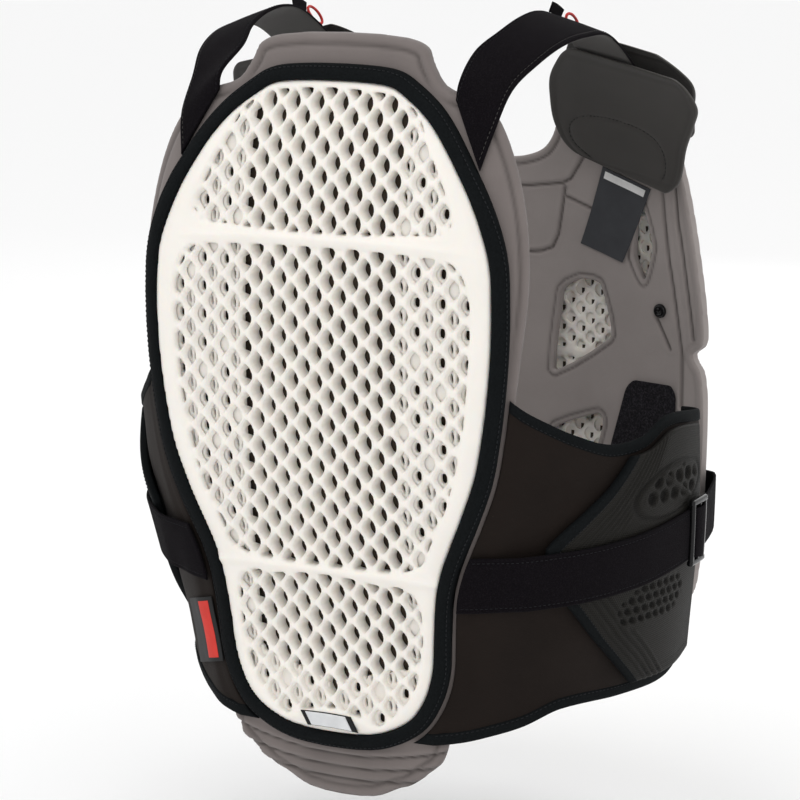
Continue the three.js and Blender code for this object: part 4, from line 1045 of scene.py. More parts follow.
def make_back_foam():
    loop = mirrored_loop(FOAM_OUTLINE, 0, BACK_HEIGHT, 4)

    def top(x, y, f):
        under = plate.outside(x, y)
        pocket = -5.6 * smoothstep(3.0, 6.5, under)
        flange = -1.5 * hump(f - 8, 1.6) * smoothstep(-12, -18, under)
        tail = np.where(y < TAIL_TOP, tail_steps(x, y), 0)
        return pocket + flange + tail - round_fall(f, 3.2)

    def base(x, y, f):
        return -FOAM_THICKNESS + round_fall(f, 3.0)

    # painted shade: darker in the flange's groove and in the creases of the tail's steps
    def groove_shade(x, y, f):
        flange = hump(f - 8, 1.5) * smoothstep(-12, -18, plate.outside(x, y))
        return np.maximum(0.6 * flange, tail_creases(x, y) * (y < TAIL_TOP))

    half = np.abs(loop[:, 0]).max() + 4
    box = (-half, half, loop[:, 1].min() - 4, loop[:, 1].max() + 4)
    piece = field_panel("back_foam_body", 1.95, box, lambda x, y: distance_inside(x, y, loop),
                        back_point, top, base, groove_shade_of=groove_shade)
    mark_pocket(piece)
    finish_piece(piece, ("foam", "dark_foam"), "foam", "back_foam")
    thin_out(piece, 0.48)


def mark_pocket(piece):
    """The foam under the plate's windows is faced with dark mesh cloth."""
    flat = flat_places(piece)
    count = len(flat) // 2
    deep = plate.outside(flat[:count, 0], flat[:count, 1]) > 3.5
    faces = piece.data.polygons
    mark_faces(piece, [all(i < count and deep[i] for i in face.vertices) for face in faces])


def row_length(points):
    return float(np.linalg.norm(np.diff(points, axis=0), axis=1).sum())


def middle_length(place, count):
    """Length of a sheet's middle line."""
    return row_length(place(np.linspace(0, 1, count), np.full(count, 0.5), np.zeros(count)))


def raised(points, out, lift):
    out = out / np.linalg.norm(out, axis=1, keepdims=True)
    return points + out * lift


def seam(name, place, start, end, count, lift, stitch):
    """Stitches along a line between two places of a sheet, given by u and v shares.
    stitch is their length, gap and radius."""
    t = np.linspace(0, 1, count)
    u, v = mix(start[0], end[0], t), mix(start[1], end[1], t)
    at = place(u, v, 0)
    out = place(u, v, 3.0) - at
    return stitches(name, raised(at, out, lift), out, *stitch)


# Badge on the plate's foot: a silver face in a black frame
BADGE = dict(width=42, height=11, lean=6, low=-509.5, stands=2.2, face=2.8)


def badge_part(name, start, end, inset, lift, thickness):
    def place(u, v, d):
        x = mix(start, end, u) * BADGE["width"] / 2
        y = BADGE["low"] + mix(BADGE["height"] - inset, inset, v)
        x = x + (y - BADGE["low"] - BADGE["height"] / 2) * BADGE["lean"] / BADGE["height"]
        return back_point(x, y - 1.5 * (x / 30) ** 2, RIM_TOP - 0.4 + lift + d)
    size = ((end - start) * BADGE["width"] / 2, BADGE["height"] - 2 * inset)
    return sheet(name, size, place, (16, 6), 0.8, thickness=thickness)


def make_badge():
    frame_part = badge_part("badge_frame", -1, 1, 0, 0, BADGE["stands"])
    face = badge_part("badge_face", -0.8, 0.8, 0.5, 0.3, BADGE["face"])
    piece = join("back_badge_bare", [frame_part, face])
    finish_piece(piece, ("buckle", "badge"), "badge", "back_badge")


# Wings: stretch cloth round each side, with bound edges
WING_TOP = dict(
    round=[0.5, 0.57, 0.64, 0.72, 0.82, 0.94, 1.05, 1.2, 1.6],
    down=[0.432, 0.462, 0.482, 0.501, 0.517, 0.514, 0.495, 0.5, 0.53],
)
WING_HEM = dict(
    round=[0.3, 0.4, 0.53, 0.64, 0.83, 1.1, 1.25, 1.6],
    down=[0.918, 0.91, 0.896, 0.876, 0.874, 0.876, 0.862, 0.82],
)
WING_END = 1.56
WING = dict(thickness=2.6, low=0.8, edge_width=9.0, edge_thickness=4.2, edge_low=0.3)


def height_line(rows):
    """A line's height by the way round the body."""
    return lambda s: -BACK_HEIGHT * read(rows, "round", np.asarray(s) / PLATE_WIDTH, "down")


wing_top = height_line(WING_TOP)
wing_hem = height_line(WING_HEM)


def binding_rows():
    """Half width outside the binding, by height."""
    ring = ring_offset(even_loop(plate.edge, 3.0), 14.6)
    right = ring[ring[:, 0] > 20]
    order = np.argsort(-right[:, 1])
    return right[order]


BINDING_ROWS = binding_rows()


def binding_edge(z):
    return np.interp(-np.asarray(z, float), -BINDING_ROWS[:, 1], BINDING_ROWS[:, 0])


def wing_place(side, top_at, foot_at, low):
    def place(u, v, d):
        target = WING_END * PLATE_WIDTH
        start = binding_edge(top_at(0.5 * PLATE_WIDTH)) + 0 * u
        for _ in range(7):
            s = mix(start, target, u)
            z = mix(top_at(s), foot_at(s), v)
            start = binding_edge(z)
        return back_point(side * mix(start, target, u), z, low + d)
    return place


def wing_waves(side):
    """Faint tension folds running from the plate to the side pad."""
    def relief(u, v):
        across = np.sin(v * 26 + 5 * u + side) * 0.28 + np.sin(v * 11 - 7 * u + 1.3) * 0.4
        near = smoothstep(0.0, 0.12, u) * smoothstep(0.62, 0.3, u)
        seam = -0.9 * hump((u - 0.035) * 320, 2.0)
        return across * near + seam
    return relief


def make_wing(side, word):
    edge = WING["edge_width"]
    body_place = wing_place(side, lambda s: wing_top(s) - 4, lambda s: wing_hem(s) + 4, WING["low"])
    length = middle_length(body_place, 60)
    along = np.linspace(180, 400, 20)
    height = float(np.mean(wing_top(along) - wing_hem(along))) - 8
    body = sheet(f"wing_cloth_{word}", (length, height), body_place, (76, 48), 1.5,
                 wing_waves(side), WING["thickness"])
    finish_piece(body, "wing", "wing", f"wing_{word}")
    bands = (
        ("top_edge", wing_top, lambda s: wing_top(s) - edge),
        ("hem", lambda s: wing_hem(s) + edge, wing_hem),
    )
    for band, top_at, foot_at in bands:
        place = wing_place(side, top_at, foot_at, WING["edge_low"])
        piece = sheet(f"{band}_{word}", (length, edge), place, (120, 6), 2.6,
                      thickness=WING["edge_thickness"])
        inner = 0.84 if band == "top_edge" else 0.16
        thread = seam(f"{band}_thread_{word}", place, (0.02, inner), (0.98, inner), 150,
                      WING["edge_thickness"] - 0.1, (2.4, 1.4, 0.3))
        piece = join(f"wing_{band}_tape_{word}", [piece, thread])
        finish_piece(piece, ("binding", "thread"), "binding", f"wing_{band}_{word}")


# Belt, over the side pad to the buckle
BELT_LINE = dict(round=[0.3, 0.6, 0.85, 1.05, 1.4], down=[0.698, 0.69, 0.68, 0.668, 0.65])
BELT_END = 1.2
BELT = dict(width=42.0, thickness=2.6, low=5.2, high=11.2, rise=(0.46, 0.56), start=1.0)
belt_height = height_line(BELT_LINE)


def belt_lift(s):
    return mix(BELT["low"], BELT["high"], smoothstep(*BELT["rise"], np.asarray(s) / PLATE_WIDTH))


def belt_place(side):
    def place(u, v, d):
        rise = (0.5 - v) * BELT["width"]
        start = binding_edge(belt_height(110.0) + rise) + BELT["start"]
        s = mix(start, BELT_END * PLATE_WIDTH, u)
        return back_point(side * s, belt_height(s) + rise, belt_lift(s) + d)
    return place


def make_belt(side, word):
    place = belt_place(side)
    length = middle_length(place, 80)

    def relief(u, v):
        seam = -0.35 * hump(np.minimum(v, 1 - v) * BELT["width"] - 3.2, 0.5)
        return seam + 0.25 * np.sin(u * 17 + side) * np.sin(v * 3.1)

    body = sheet(f"belt_body_{word}", (length, BELT["width"]), place, (90, 36), 1.4, relief,
                 BELT["thickness"])
    threads = [seam("belt_thread", place, (0.01, v), (0.99, v), 200, BELT["thickness"], (2.2, 1.3, 0.22))
               for v in (0.085, 0.915)]
    piece = join(f"belt_webbing_{word}", [body, *threads])
    finish_piece(piece, ("webbing", "thread"), "webbing", f"belt_{word}")


# Buckle: a ladder frame with two bars, and the webbing that turns round it
BUCKLE = dict(height=54.0, width=26.0, bar=4.4, lift=14.5)
BUCKLE_MIDDLE = BELT_END * PLATE_WIDTH - BUCKLE["width"] / 2


def bent_bar(side, start, end, width, depth, lift):
    """A bar over the curved side from one place to another, given by (offset, height)."""
    x, y = (mix(a, b, np.linspace(0, 1, 26)) for a, b in zip(start, end))
    s, z = side * (BUCKLE_MIDDLE + x), belt_height(BUCKLE_MIDDLE) + y
    at = back_point(s, z, lift)
    out = back_point(s, z, lift + 3) - at
    ring = circle(1.0, 10)
    section = np.sign(ring) * np.abs(ring) ** 0.6 * (width / 2, depth / 2)
    return sweep("bar", at, out, section)


def make_buckle(side, word):
    w, h, bar, lift = BUCKLE["width"] / 2, BUCKLE["height"] / 2, BUCKLE["bar"], BUCKLE["lift"] + 1.0
    inner = w - bar / 2
    top = h - bar / 2
    parts = [bent_bar(side, (-w, z), (w, z), bar, 4.6, lift) for z in (top, -top)]
    parts += [bent_bar(side, (x, 1 - h), (x, h - 1), bar, 4.2, lift) for x in (-inner, inner)]
    parts.append(bent_bar(side, (0.4, 2 - h), (0.4, h - 2), bar * 0.9, 3.4, lift + 0.2))
    reach = w - bar - 0.3

    def turn_place(u, v, d):
        x = mix(-reach, reach, u)
        height = belt_height(BUCKLE_MIDDLE) + (0.5 - v) * (BELT["width"] - 0.6)
        up = lift - 1.4 + 3.4 * np.sqrt(np.clip(1 - (x / (reach + 1.0)) ** 2, 0, 1))
        return back_point(side * (BUCKLE_MIDDLE + x), height, up + d)

    size = (2 * reach + 4, BELT["width"])
    parts.append(sheet("buckle_turn", size, turn_place, (22, 50), 1.2, thickness=2.0))
    piece = join(f"ladder_buckle_{word}", parts, [0] * 5 + [1])
    finish_piece(piece, ("buckle", "webbing"), "buckle", f"buckle_{word}")


# Chest strap: from the buckle onto the chest foam
STRAP_SEAT = 10.5
STRAP_LAYER = 2.5


def chest_strap_line(z, lift):
    s = BELT_END * PLATE_WIDTH + 0.45
    start = BELT["high"] + 1.3

    def front(share, d):
        return front_point(CHEST_HALF * share, z, d + lift)

    knots = [
        back_point(s, z, start + lift), back_point(s + 5, z, start + lift),
        front(1.03, STRAP_SEAT), front(0.985, STRAP_SEAT + STRAP_LAYER),
        *(front(share, STRAP_SEAT + STRAP_LAYER / 2) for share in (0.92, 0.84, 0.76)),
    ]
    return catmull(np.array(knots), 12)


def make_chest_strap(side, word):
    middle = float(belt_height(BELT_END * PLATE_WIDTH))
    levels = middle + (0.5 - np.linspace(0, 1, 25)) * BELT["width"]
    depths = (-STRAP_LAYER / 2, STRAP_LAYER / 2)
    rows = {d: np.stack([chest_strap_line(z, d) for z in levels]) for d in depths}

    def place(u, v, d):
        share = (np.asarray(d) / STRAP_LAYER)[..., None]
        row = np.clip(v, 0, 1) * (len(levels) - 1)
        low, high = (bilinear(rows[d], row, np.clip(u, 0, 1) * (rows[d].shape[1] - 1)) for d in depths)
        return mix(low, high, share) * [side, 1, 1]

    length = middle_length(place, 60)
    piece = sheet(f"chest_strap_webbing_{word}", (length, BELT["width"]), place, (30, 24), 1.2,
                  lambda u, v: 0.15 * np.sin(u * 9 + side) * np.sin(v * 3.1), STRAP_LAYER)
    finish_piece(piece, "webbing", "webbing", f"chest_strap_{word}")


# Side pad: a moulded pad with raised oval, holes and chevrons
SIDE_PAD_REAR = dict(down=[0.53, 0.6, 0.665, 0.7, 0.78, 0.855], round=[0.88, 0.745, 0.62, 0.61, 0.73, 0.87])
SIDE_PAD_END = 1.22
SIDE_PAD = dict(thickness=5.0, low=5.5, inset=9.5, binding=9.0, lip=0.7)
PAD_LEAF = (284, -322)
PAD_FIELD = (262, -412)


def side_pad_rear(v):
    down = SIDE_PAD_REAR["down"]
    return PLATE_WIDTH * np.interp(mix(down[0], down[-1], v), down, SIDE_PAD_REAR["round"])


def side_pad_sz(u, v):
    """Way round the body and height of a place on the pad."""
    s = mix(side_pad_rear(v), SIDE_PAD_END * PLATE_WIDTH, u)
    return s, mix(wing_top(s) - SIDE_PAD["inset"], wing_hem(s) + SIDE_PAD["inset"], v)


def side_pad_place(side):
    def place(u, v, d):
        s, z = side_pad_sz(u, v)
        return back_point(side * s, z, SIDE_PAD["low"] + d)
    return place


def dimples(s, z, centre, pitch, rows, radius, depth):
    """Round hollows in staggered rows about a centre."""
    found = np.zeros(np.shape(s))
    for row in range(rows):
        y = centre[1] - (row - (rows - 1) / 2) * pitch * 0.87
        shift = (row % 2) * pitch / 2
        x = np.mod(s - centre[0] - shift + pitch / 2, pitch) - pitch / 2
        found = np.minimum(found, -depth * smoothstep(radius + 0.7, radius - 0.7, np.hypot(x, z - y)))
    return found


def side_pad_relief(u, v):
    s, z = side_pad_sz(u, v)
    away = (s - side_pad_rear(v)) * 0.75
    belt = belt_height(s)
    # a raised leaf above the belt, with hollows and a thick rib across it
    a, b = (s - PAD_LEAF[0]) / 44, (z - belt - 44) / 19
    p, q = a + 0.3 * b, b - 0.35 * a
    leaf = np.hypot(p, q)
    relief = 0.9 * smoothstep(1.02, 0.96, leaf) - 0.9 * hump((leaf - 1.06) * 17, 1.1)
    rib = hump((p - 0.15 + 0.25 * q) * 44, 3.6)
    hollows = dimples(s, z, PAD_LEAF, 13.5, 3, 4.7, 2.4) * smoothstep(0.9, 0.8, leaf)
    relief = relief + np.where(leaf < 0.95, hollows * (1 - rib) + 1.0 * rib, 0)
    # small round hollows below the belt, inside a rounded field
    field = np.hypot((s - PAD_FIELD[0]) / 42, (z - belt + 40) / 19)
    low = dimples(s, z, PAD_FIELD, 9.0, 5, 2.7, 1.9) * smoothstep(1.0, 0.92, field)
    relief = relief + np.where(z < belt - 22, low, 0)
    # ridges that follow the pointed rear edge
    above = z > belt
    ridges = np.where(above, 0.35 * np.cos(away * 2 * np.pi / 3.6), 0.6 * np.cos(away * 2 * np.pi / 6.0))
    clear = smoothstep(1.1, 1.2, np.where(above, leaf, field + 0.15))
    return relief + ridges * clear * smoothstep(8, 10, away) * smoothstep(32, 29, away)


def make_side_pad(side, word):
    place = side_pad_place(side)
    size = (0.5 * PLATE_WIDTH, 178.0)
    body = sheet(f"side_pad_body_{word}", size, place, (100, 115), 2.6, side_pad_relief,
                 SIDE_PAD["thickness"])
    bound = SIDE_PAD["binding"] / size[0]
    low = SIDE_PAD["lip"]

    def bound_place(u, v, d):
        return place((u - 0.12) * bound, v, d - low)

    band = sheet(f"side_pad_binding_{word}", (SIDE_PAD["binding"], size[1]), bound_place, (10, 110), 2.4,
                 thickness=SIDE_PAD["thickness"] + 2 * low)
    thread = f"pad_thread_{word}"
    threads = [seam(thread, place, (bound * 0.7, 0.01), (bound * 0.7, 0.99), 150,
                    SIDE_PAD["thickness"] + low + 0.1, (2.2, 1.3, 0.32))]
    for inset in (0.025, 0.045):
        threads.append(seam(thread, place, (0.03, 1 - inset), (0.97, 1 - inset), 120,
                            SIDE_PAD["thickness"] - 0.1, (2.2, 1.3, 0.3)))
    piece = join(f"side_pad_moulded_{word}", [body, *threads, band], [0, 1, 1, 1, 2])
    finish_piece(piece, ("side_pad", "thread", "binding"), "side_pad", f"side_pad_{word}")


# Chest foam, seen from inside, and the chest plate behind its vents
CHEST_SIDE = dict(
    down=[0.0, 0.06, 0.15, 0.31, 0.45, 0.485, 0.5, 0.52, 0.58, 0.72, 0.9, 0.96, 1.0],
    half=[0.82, 0.89, 0.92, 0.965, 1.0, 0.985, 0.925, 0.975, 1.0, 1.0, 0.985, 0.94, 0.82],
)
CHEST_NECKLINE = dict(
    out=[0.0, 0.1, 0.22, 0.29, 0.36, 0.45, 0.6, 0.8, 0.92, 1.0],
    down=[0.203, 0.2, 0.188, 0.168, 0.135, 0.105, 0.092, 0.1, 0.125, 0.18],
)
CHEST_FOOT = dict(out=[0.0, 0.4, 0.8, 1.0], down=[0.79, 0.805, 0.83, 0.825])
CHEST_VENTS = [
    [(0.175, 0.518), (0.235, 0.388), (0.34, 0.372), (0.44, 0.374), (0.51, 0.452)],
    [(0.19, 0.59), (0.44, 0.562), (0.46, 0.575), (0.4, 0.645), (0.21, 0.665)],
    [(0.685, 0.25), (0.735, 0.316), (0.675, 0.37), (0.62, 0.335), (0.64, 0.285)],
]
CHEST_FOAM_THICKNESS = 9.0
CHEST_GROOVES = [
    [(-79, -102), (-58, -128), (-50, -132), (-19, -136), (0, -137)],
    [(-52, -135), (-46, -158), (-42, -174), (-36, -185), (-25, -189), (0, -191)],
    [(-144, -125), (-144, -154), (-146, -184), (-152, -224), (-158, -261), (-158, -300)],
    [(-157, -125), (-157, -153), (-163, -204), (-169, -246)],
    [(-132, -231), (-146, -256)],
    [(-53, -143), (-69, -149), (-86, -155)],
]


def rounded(loop, cut=0.22, passes=2):
    """A closed loop with its corners cut round."""
    for _ in range(passes):
        ahead = np.roll(loop, -1, axis=0)
        loop = np.stack([mix(loop, ahead, cut), mix(loop, ahead, 1 - cut)], axis=1).reshape(-1, 2)
        cut = 0.3
    return loop


def outline_ring(at, count):
    """The outline of a patch whose places are given by shares across and down."""
    across = np.linspace(-1, 1, count)
    down = np.linspace(0, 1, count)[1:-1]
    one = np.ones(len(down))
    ring = [at(across, 0 * across), at(one, down), at(across[::-1], 0 * across + 1), at(-one, down[::-1])]
    return rounded(np.vstack(ring), passes=1)


def chest_loop():
    def at(a, v):
        top = -BACK_HEIGHT * read(CHEST_NECKLINE, "out", np.abs(a), "down")
        foot = -BACK_HEIGHT * read(CHEST_FOOT, "out", np.abs(a), "down")
        z = mix(top, foot, v)
        share = np.clip((CHEST_TOP - z) / (CHEST_TOP - CHEST_BOTTOM), 0, 1)
        return np.stack([a * CHEST_HALF * read(CHEST_SIDE, "down", share, "half"), z], axis=1)

    return outline_ring(at, 61)


def vent_loops():
    loops = []
    for vent in CHEST_VENTS:
        for side in (1, -1):
            loop = np.array([(side * out * CHEST_HALF, -down * BACK_HEIGHT) for out, down in vent])
            loops.append(rounded(loop, 0.1))
    return loops


CHEST_LOOP = chest_loop()
VENT_LOOPS = vent_loops()


def near_line(x, y, line):
    """Distance to an open line of points."""
    best = np.full(np.shape(x), 1e9)
    for (ax, ay), (bx, by) in zip(line[:-1], line[1:]):
        dx, dy = bx - ax, by - ay
        t = np.clip(((x - ax) * dx + (y - ay) * dy) / (dx * dx + dy * dy), 0, 1)
        best = np.minimum(best, np.hypot(x - ax - t * dx, y - ay - t * dy))
    return best


def groove_distances(x, y):
    """Distance to each groove, the same on both sides."""
    return [near_line(-np.abs(x), y, np.array(line, float)) for line in CHEST_GROOVES]


def make_chest_foam():
    def field(x, y):
        inside = distance_inside(x, y, CHEST_LOOP)
        for loop in VENT_LOOPS:
            inside = np.minimum(inside, -distance_inside(x, y, loop))
        return inside

    def edges(x, y, f, width):
        """The groove along the neckline and the border, and the one round each vent."""
        edge = distance_inside(x, y, CHEST_LOOP)
        neck = smoothstep(-150, -120, y) * smoothstep(95, 70, np.abs(x))
        return hump(edge - 6, width), neck, hump(f - 4.2, 1.1) * smoothstep(6, 9, edge)

    def inner(x, y, f):
        rise = np.zeros(np.shape(x))
        for away in groove_distances(x, y):
            rise = rise + 1.9 * hump(away, 1.2) - 0.5 * hump(away - 3.0, 1.3)
        border, neck, vent = edges(x, y, f, 1.3)
        return rise + 1.4 * border * (0.25 + neck) + 1.3 * vent + round_fall(f, 1.8)

    def outer(x, y, f):
        return CHEST_FOAM_THICKNESS - round_fall(f, 3.0)

    # painted shade: darker in the grooves, along the border groove and round each vent
    def groove_shade(x, y, f):
        border, neck, vent = edges(x, y, f, 1.2)
        grooves = [hump(away, 1.3) for away in groove_distances(x, y)]
        return np.max([*grooves, border * (0.2 + 0.7 * neck), 0.8 * vent], axis=0)

    half = CHEST_HALF + 8
    box = (-half, half, CHEST_LOOP[:, 1].min() - 4, CHEST_LOOP[:, 1].max() + 4)
    piece = field_panel("chest_foam_body", 1.8, box, field, front_point, outer, inner, groove_shade_of=groove_shade)
    # the chest foam takes the lighter copy of the foam, painted light for its shaded inside
    finish_piece(piece, "chest_foam", "foam", "chest_foam")
    thin_out(piece, 0.62)


CHEST_PLATE_SIDE = dict(
    down=[0.19, 0.22, 0.32, 0.42, 0.5, 0.57, 0.66, 0.73, 0.77],
    half=[0.78, 0.82, 0.86, 0.85, 0.76, 0.67, 0.62, 0.54, 0.42],
)
CHEST_PLATE_TOP = dict(across=[0.0, 0.3, 0.5, 0.75, 1.0], down=[0.235, 0.225, 0.202, 0.19, 0.22])
CHEST_PLATE_FOOT = dict(across=[0.0, 0.6, 1.0], down=[0.765, 0.762, 0.74])
CHEST_PLATE = dict(seat=10.6, thickness=5.0, rim=14.0, windows=((0.262, 0.477), (0.49, 0.733)))
CHEST_CELL = dict(pitch=8.8, rise=15.6, width=8.4, height=11.0, power=2.6)
CHEST_BACKING = dict(pitch=8.8, rise=15.6, width=6.3, height=7.6, power=2.6)


def chest_plate_half(z):
    return CHEST_HALF * read(CHEST_PLATE_SIDE, "down", -np.asarray(z) / BACK_HEIGHT, "half")


def chest_plate_loop():
    def at(a, v):
        top = read(CHEST_PLATE_TOP, "across", np.abs(a), "down")
        foot = read(CHEST_PLATE_FOOT, "across", np.abs(a), "down")
        z = -BACK_HEIGHT * mix(top, foot, v)
        return np.stack([a * chest_plate_half(z), z], axis=1)

    return outline_ring(at, 41)


def chest_window(top, low):
    z = -BACK_HEIGHT * np.linspace(top, low, 30)
    half = chest_plate_half(z) - CHEST_PLATE["rim"]
    side = np.stack([half, z], axis=1)
    return rounded(np.vstack([side, side[::-1] * [-1, 1]]), passes=1)


def make_chest_plate():
    edge = chest_plate_loop()
    windows = [chest_window(*window) for window in CHEST_PLATE["windows"]]

    def in_window(x, y):
        return np.max([distance_inside(x, y, loop) for loop in windows], axis=0)

    def field(x, y):
        strut = -cell_distance(x, y, CHEST_CELL)
        return np.minimum(soft_max(-in_window(x, y), strut, 1.6), distance_inside(x, y, edge))

    def outer(x, y, f):
        top = CHEST_PLATE["seat"] + CHEST_PLATE["thickness"]
        blend = smoothstep(2.0, -2.2, in_window(x, y))
        return top - (1 - blend) - round_fall(f, 1.8)

    def inner(x, y, f):
        return CHEST_PLATE["seat"] + round_fall(f, 1.0)

    half = CHEST_HALF * 0.88
    box = (-half, half, edge[:, 1].min() - 3, edge[:, 1].max() + 3)
    piece = field_panel("chest_plate_shell", 2.2, box, field, front_point, outer, inner)
    finish_piece(piece, "plate", "plate", "chest_plate")

    def backing(x, y):
        return np.minimum(in_window(x, y) + 5, distance_inside(x, y, edge) - 2)

    depth = CHEST_PLATE["seat"] + CHEST_PLATE["thickness"] - 2.4
    layer = field_panel("chest_plate_backing", 2.2, box, backing, front_point, level(depth + 1.6),
                        level(depth))
    # painted dark spots stand in for the backing's holes, dark from the layer behind and from shade
    mark_painted_hole_spots(layer)
    finish_piece(layer, ("plate", "dark_foam"), "plate")


def mark_painted_hole_spots(layer):
    """Dark round spots painted on the closed backing where its holes show dark: the dark layer behind them
    and the shade inside them.
    """
    flat = flat_places(layer)
    shift = CHEST_CELL["pitch"] * 0.35
    dark = cell_distance(flat[:, 0] + shift, flat[:, 1] + 2.0, CHEST_BACKING) > 0
    mark_faces(layer, [dark[list(polygon.vertices)].mean() > 0.5 for polygon in layer.data.polygons])


# Shoulder straps, with the pull tab and its cord loop
SHOULDER_ROWS = dict(
    neck=[0.455, 0.485, 0.497, 0.5, 0.5], neck_back=[0.56, 0.38, 0.18, -0.03, -0.22],
    neck_up=[-0.026, -0.004, 0.011, 0.017, 0.01], outer=[0.63, 0.67, 0.695, 0.71, 0.715],
    outer_back=[0.66, 0.48, 0.26, 0.02, -0.26], outer_up=[-0.07, -0.04, -0.02, -0.012, -0.014],
)
STRAP_ON_BACK = dict(
    neck=[0.463, 0.465], neck_down=[0.083, 0.06],
    outer=[0.582, 0.612], outer_down=[0.168, 0.118],
)
STRAP_IN_PAD = dict(
    neck=[0.5, 0.502, 0.506, 0.51, 0.52, 0.54, 0.56],
    neck_down=[0.045, 0.073, 0.1, 0.13, 0.165, 0.2, 0.235],
    outer=[0.72, 0.722, 0.726, 0.73, 0.738, 0.75, 0.765],
    outer_down=[0.055, 0.083, 0.11, 0.14, 0.173, 0.206, 0.24],
)
STRAP_THICKNESS = 3.0
STRAP_SEEN = 0.955
STRAP_OFF_BACK = 2.7
STRAP_OFF_CHEST = -3.9


def strap_edge(edge):
    half = TORSO_WIDTH / 2

    def part(rows, surface, d):
        across, down = np.array(rows[edge]), np.array(rows[edge + "_down"])
        return surface(across * half, -down * BACK_HEIGHT, d)

    over = np.stack([
        np.array(SHOULDER_ROWS[edge]) * half,
        np.array(SHOULDER_ROWS[edge + "_back"]) * BACK_DEPTH,
        np.array(SHOULDER_ROWS[edge + "_up"]) * BACK_HEIGHT,
    ], axis=1)
    knots = [part(STRAP_ON_BACK, back_point, STRAP_OFF_BACK), over,
             part(STRAP_IN_PAD, front_point, STRAP_OFF_CHEST)]
    return catmull(np.vstack(knots), 12)


STRAP_EDGES = {"neck": strap_edge("neck"), "outer": strap_edge("outer")}


def on_strap(side, u, v, lift):
    step = 0.012
    share, lift = np.asarray(u)[..., None], np.asarray(lift)[..., None]

    def across(at):
        return [curve_at(edge, np.asarray(at)) for edge in STRAP_EDGES.values()]

    (a, b), before, after = across(v), across(np.asarray(v) - step), across(np.asarray(v) + step)
    way = mix(after[0] - before[0], after[1] - before[1], share)
    up = np.cross(way, b - a)
    up /= np.linalg.norm(up, axis=-1, keepdims=True)
    return (mix(a, b, share) + up * lift) * [side, 1, 1]


SHOULDER_MIDDLE = (115.0, 0.0, -150.0)


def line_inner_face(piece, side):
    """The strap's face towards the shoulder has a smooth lining."""
    middle = np.array([side * SHOULDER_MIDDLE[0], *SHOULDER_MIDDLE[1:]]) * MM
    for polygon in piece.data.polygons:
        way = middle - np.array(polygon.center)
        facing = np.array(polygon.normal) @ way / np.linalg.norm(way)
        if polygon.material_index == 0 and facing > 0.35:
            polygon.material_index = 2


def make_shoulder_strap(side, word):
    def place(u, v, d):
        crown = 0.5 * np.sin(np.pi * np.clip(u, 0, 1))
        return on_strap(side, u, v * STRAP_SEEN, d - STRAP_THICKNESS / 2 + crown)

    neck = row_length(STRAP_EDGES["neck"])
    width = float(np.linalg.norm(STRAP_EDGES["neck"] - STRAP_EDGES["outer"], axis=1).mean())

    def relief(u, v):
        away = np.minimum(u, 1 - u) * width
        return -0.35 * hump(away - 3.4, 0.5) + 0.2 * np.sin(v * 23 + side)

    body = sheet(f"strap_body_{word}", (width, neck), place, (36, 110), 1.6, relief, STRAP_THICKNESS)
    threads = [seam("strap_thread", place, (u, 0.01), (u, 0.72), 200, STRAP_THICKNESS, (2.4, 1.4, 0.25))
               for u in (0.07, 0.93)]
    piece = join(f"shoulder_strap_webbing_{word}", [body, *threads])
    line_inner_face(piece, side)
    finish_piece(piece, ("webbing", "thread", "pad"), "webbing", f"shoulder_strap_{word}")


PULL_TAB = dict(at=0.455, length=14.0, height=8.0, thickness=1.5, inset=2.0)
PULL_LOOP = dict(at=0.494, radius=4.5, cord=1.1, inset=4.0)


def make_pull(side, word):
    length = row_length(STRAP_EDGES["neck"])
    ends = [curve_at(STRAP_EDGES[e], np.array(PULL_TAB["at"])) for e in ("neck", "outer")]
    width = float(np.linalg.norm(ends[0] - ends[1]))
    ground = STRAP_THICKNESS / 2 + 0.3

    def tab_place(u, v, d):
        along = PULL_TAB["at"] + (u - 0.5) * PULL_TAB["length"] / length
        across = (PULL_TAB["inset"] + d) / width + 0 * u
        return on_strap(side, across, along, ground + (1 - v) * PULL_TAB["height"])

    size = (PULL_TAB["length"], PULL_TAB["height"])
    tab = sheet(f"pull_tab_webbing_{word}", size, tab_place, (14, 8), 0.7, thickness=PULL_TAB["thickness"])
    finish_piece(tab, "webbing", "webbing", f"pull_tab_{word}")
    turn = np.linspace(0, 2 * np.pi, 49)[:-1]
    foot = ground + PULL_LOOP["radius"] + PULL_LOOP["cord"]
    along = PULL_LOOP["at"] + np.cos(turn) * PULL_LOOP["radius"] / length
    across = np.full(len(turn), PULL_LOOP["inset"] / width)
    path = on_strap(side, across, along, foot + np.sin(turn) * PULL_LOOP["radius"])
    out = path - path.mean(axis=0)
    loop = sweep(f"pull_loop_cord_{word}", path, out, circle(PULL_LOOP["cord"], 10), closed=True)
    finish_piece(loop, "cord", "cord", f"pull_loop_{word}")


# Shoulder pad: an inner flap and an outer cover, both padded cloth
FLAP_ROWS = dict(
    down=[0.033, 0.075, 0.11, 0.15, 0.185, 0.205], inner=[0.56, 0.4, 0.345, 0.335, 0.4, 0.56],
    outer=[1.1, 1.14, 1.1, 1.03, 0.97, 0.9], drop=[0.04, 0.035, 0.025, 0.02, 0.03, 0.032],
)
COVER_ROWS = dict(
    down=[0.012, 0.05, 0.1, 0.15], inner=[0.56, 0.44, 0.4, 0.42], outer=[0.94, 1.04, 1.0, 0.97],
    drop=[0.03, 0.03, 0.02, 0.01],
)
PAD_LAYER = 3.5
PAD_CORNER = 9.0
FLAP_DEPTH = -11.9
COVER_DEPTH = 9.6


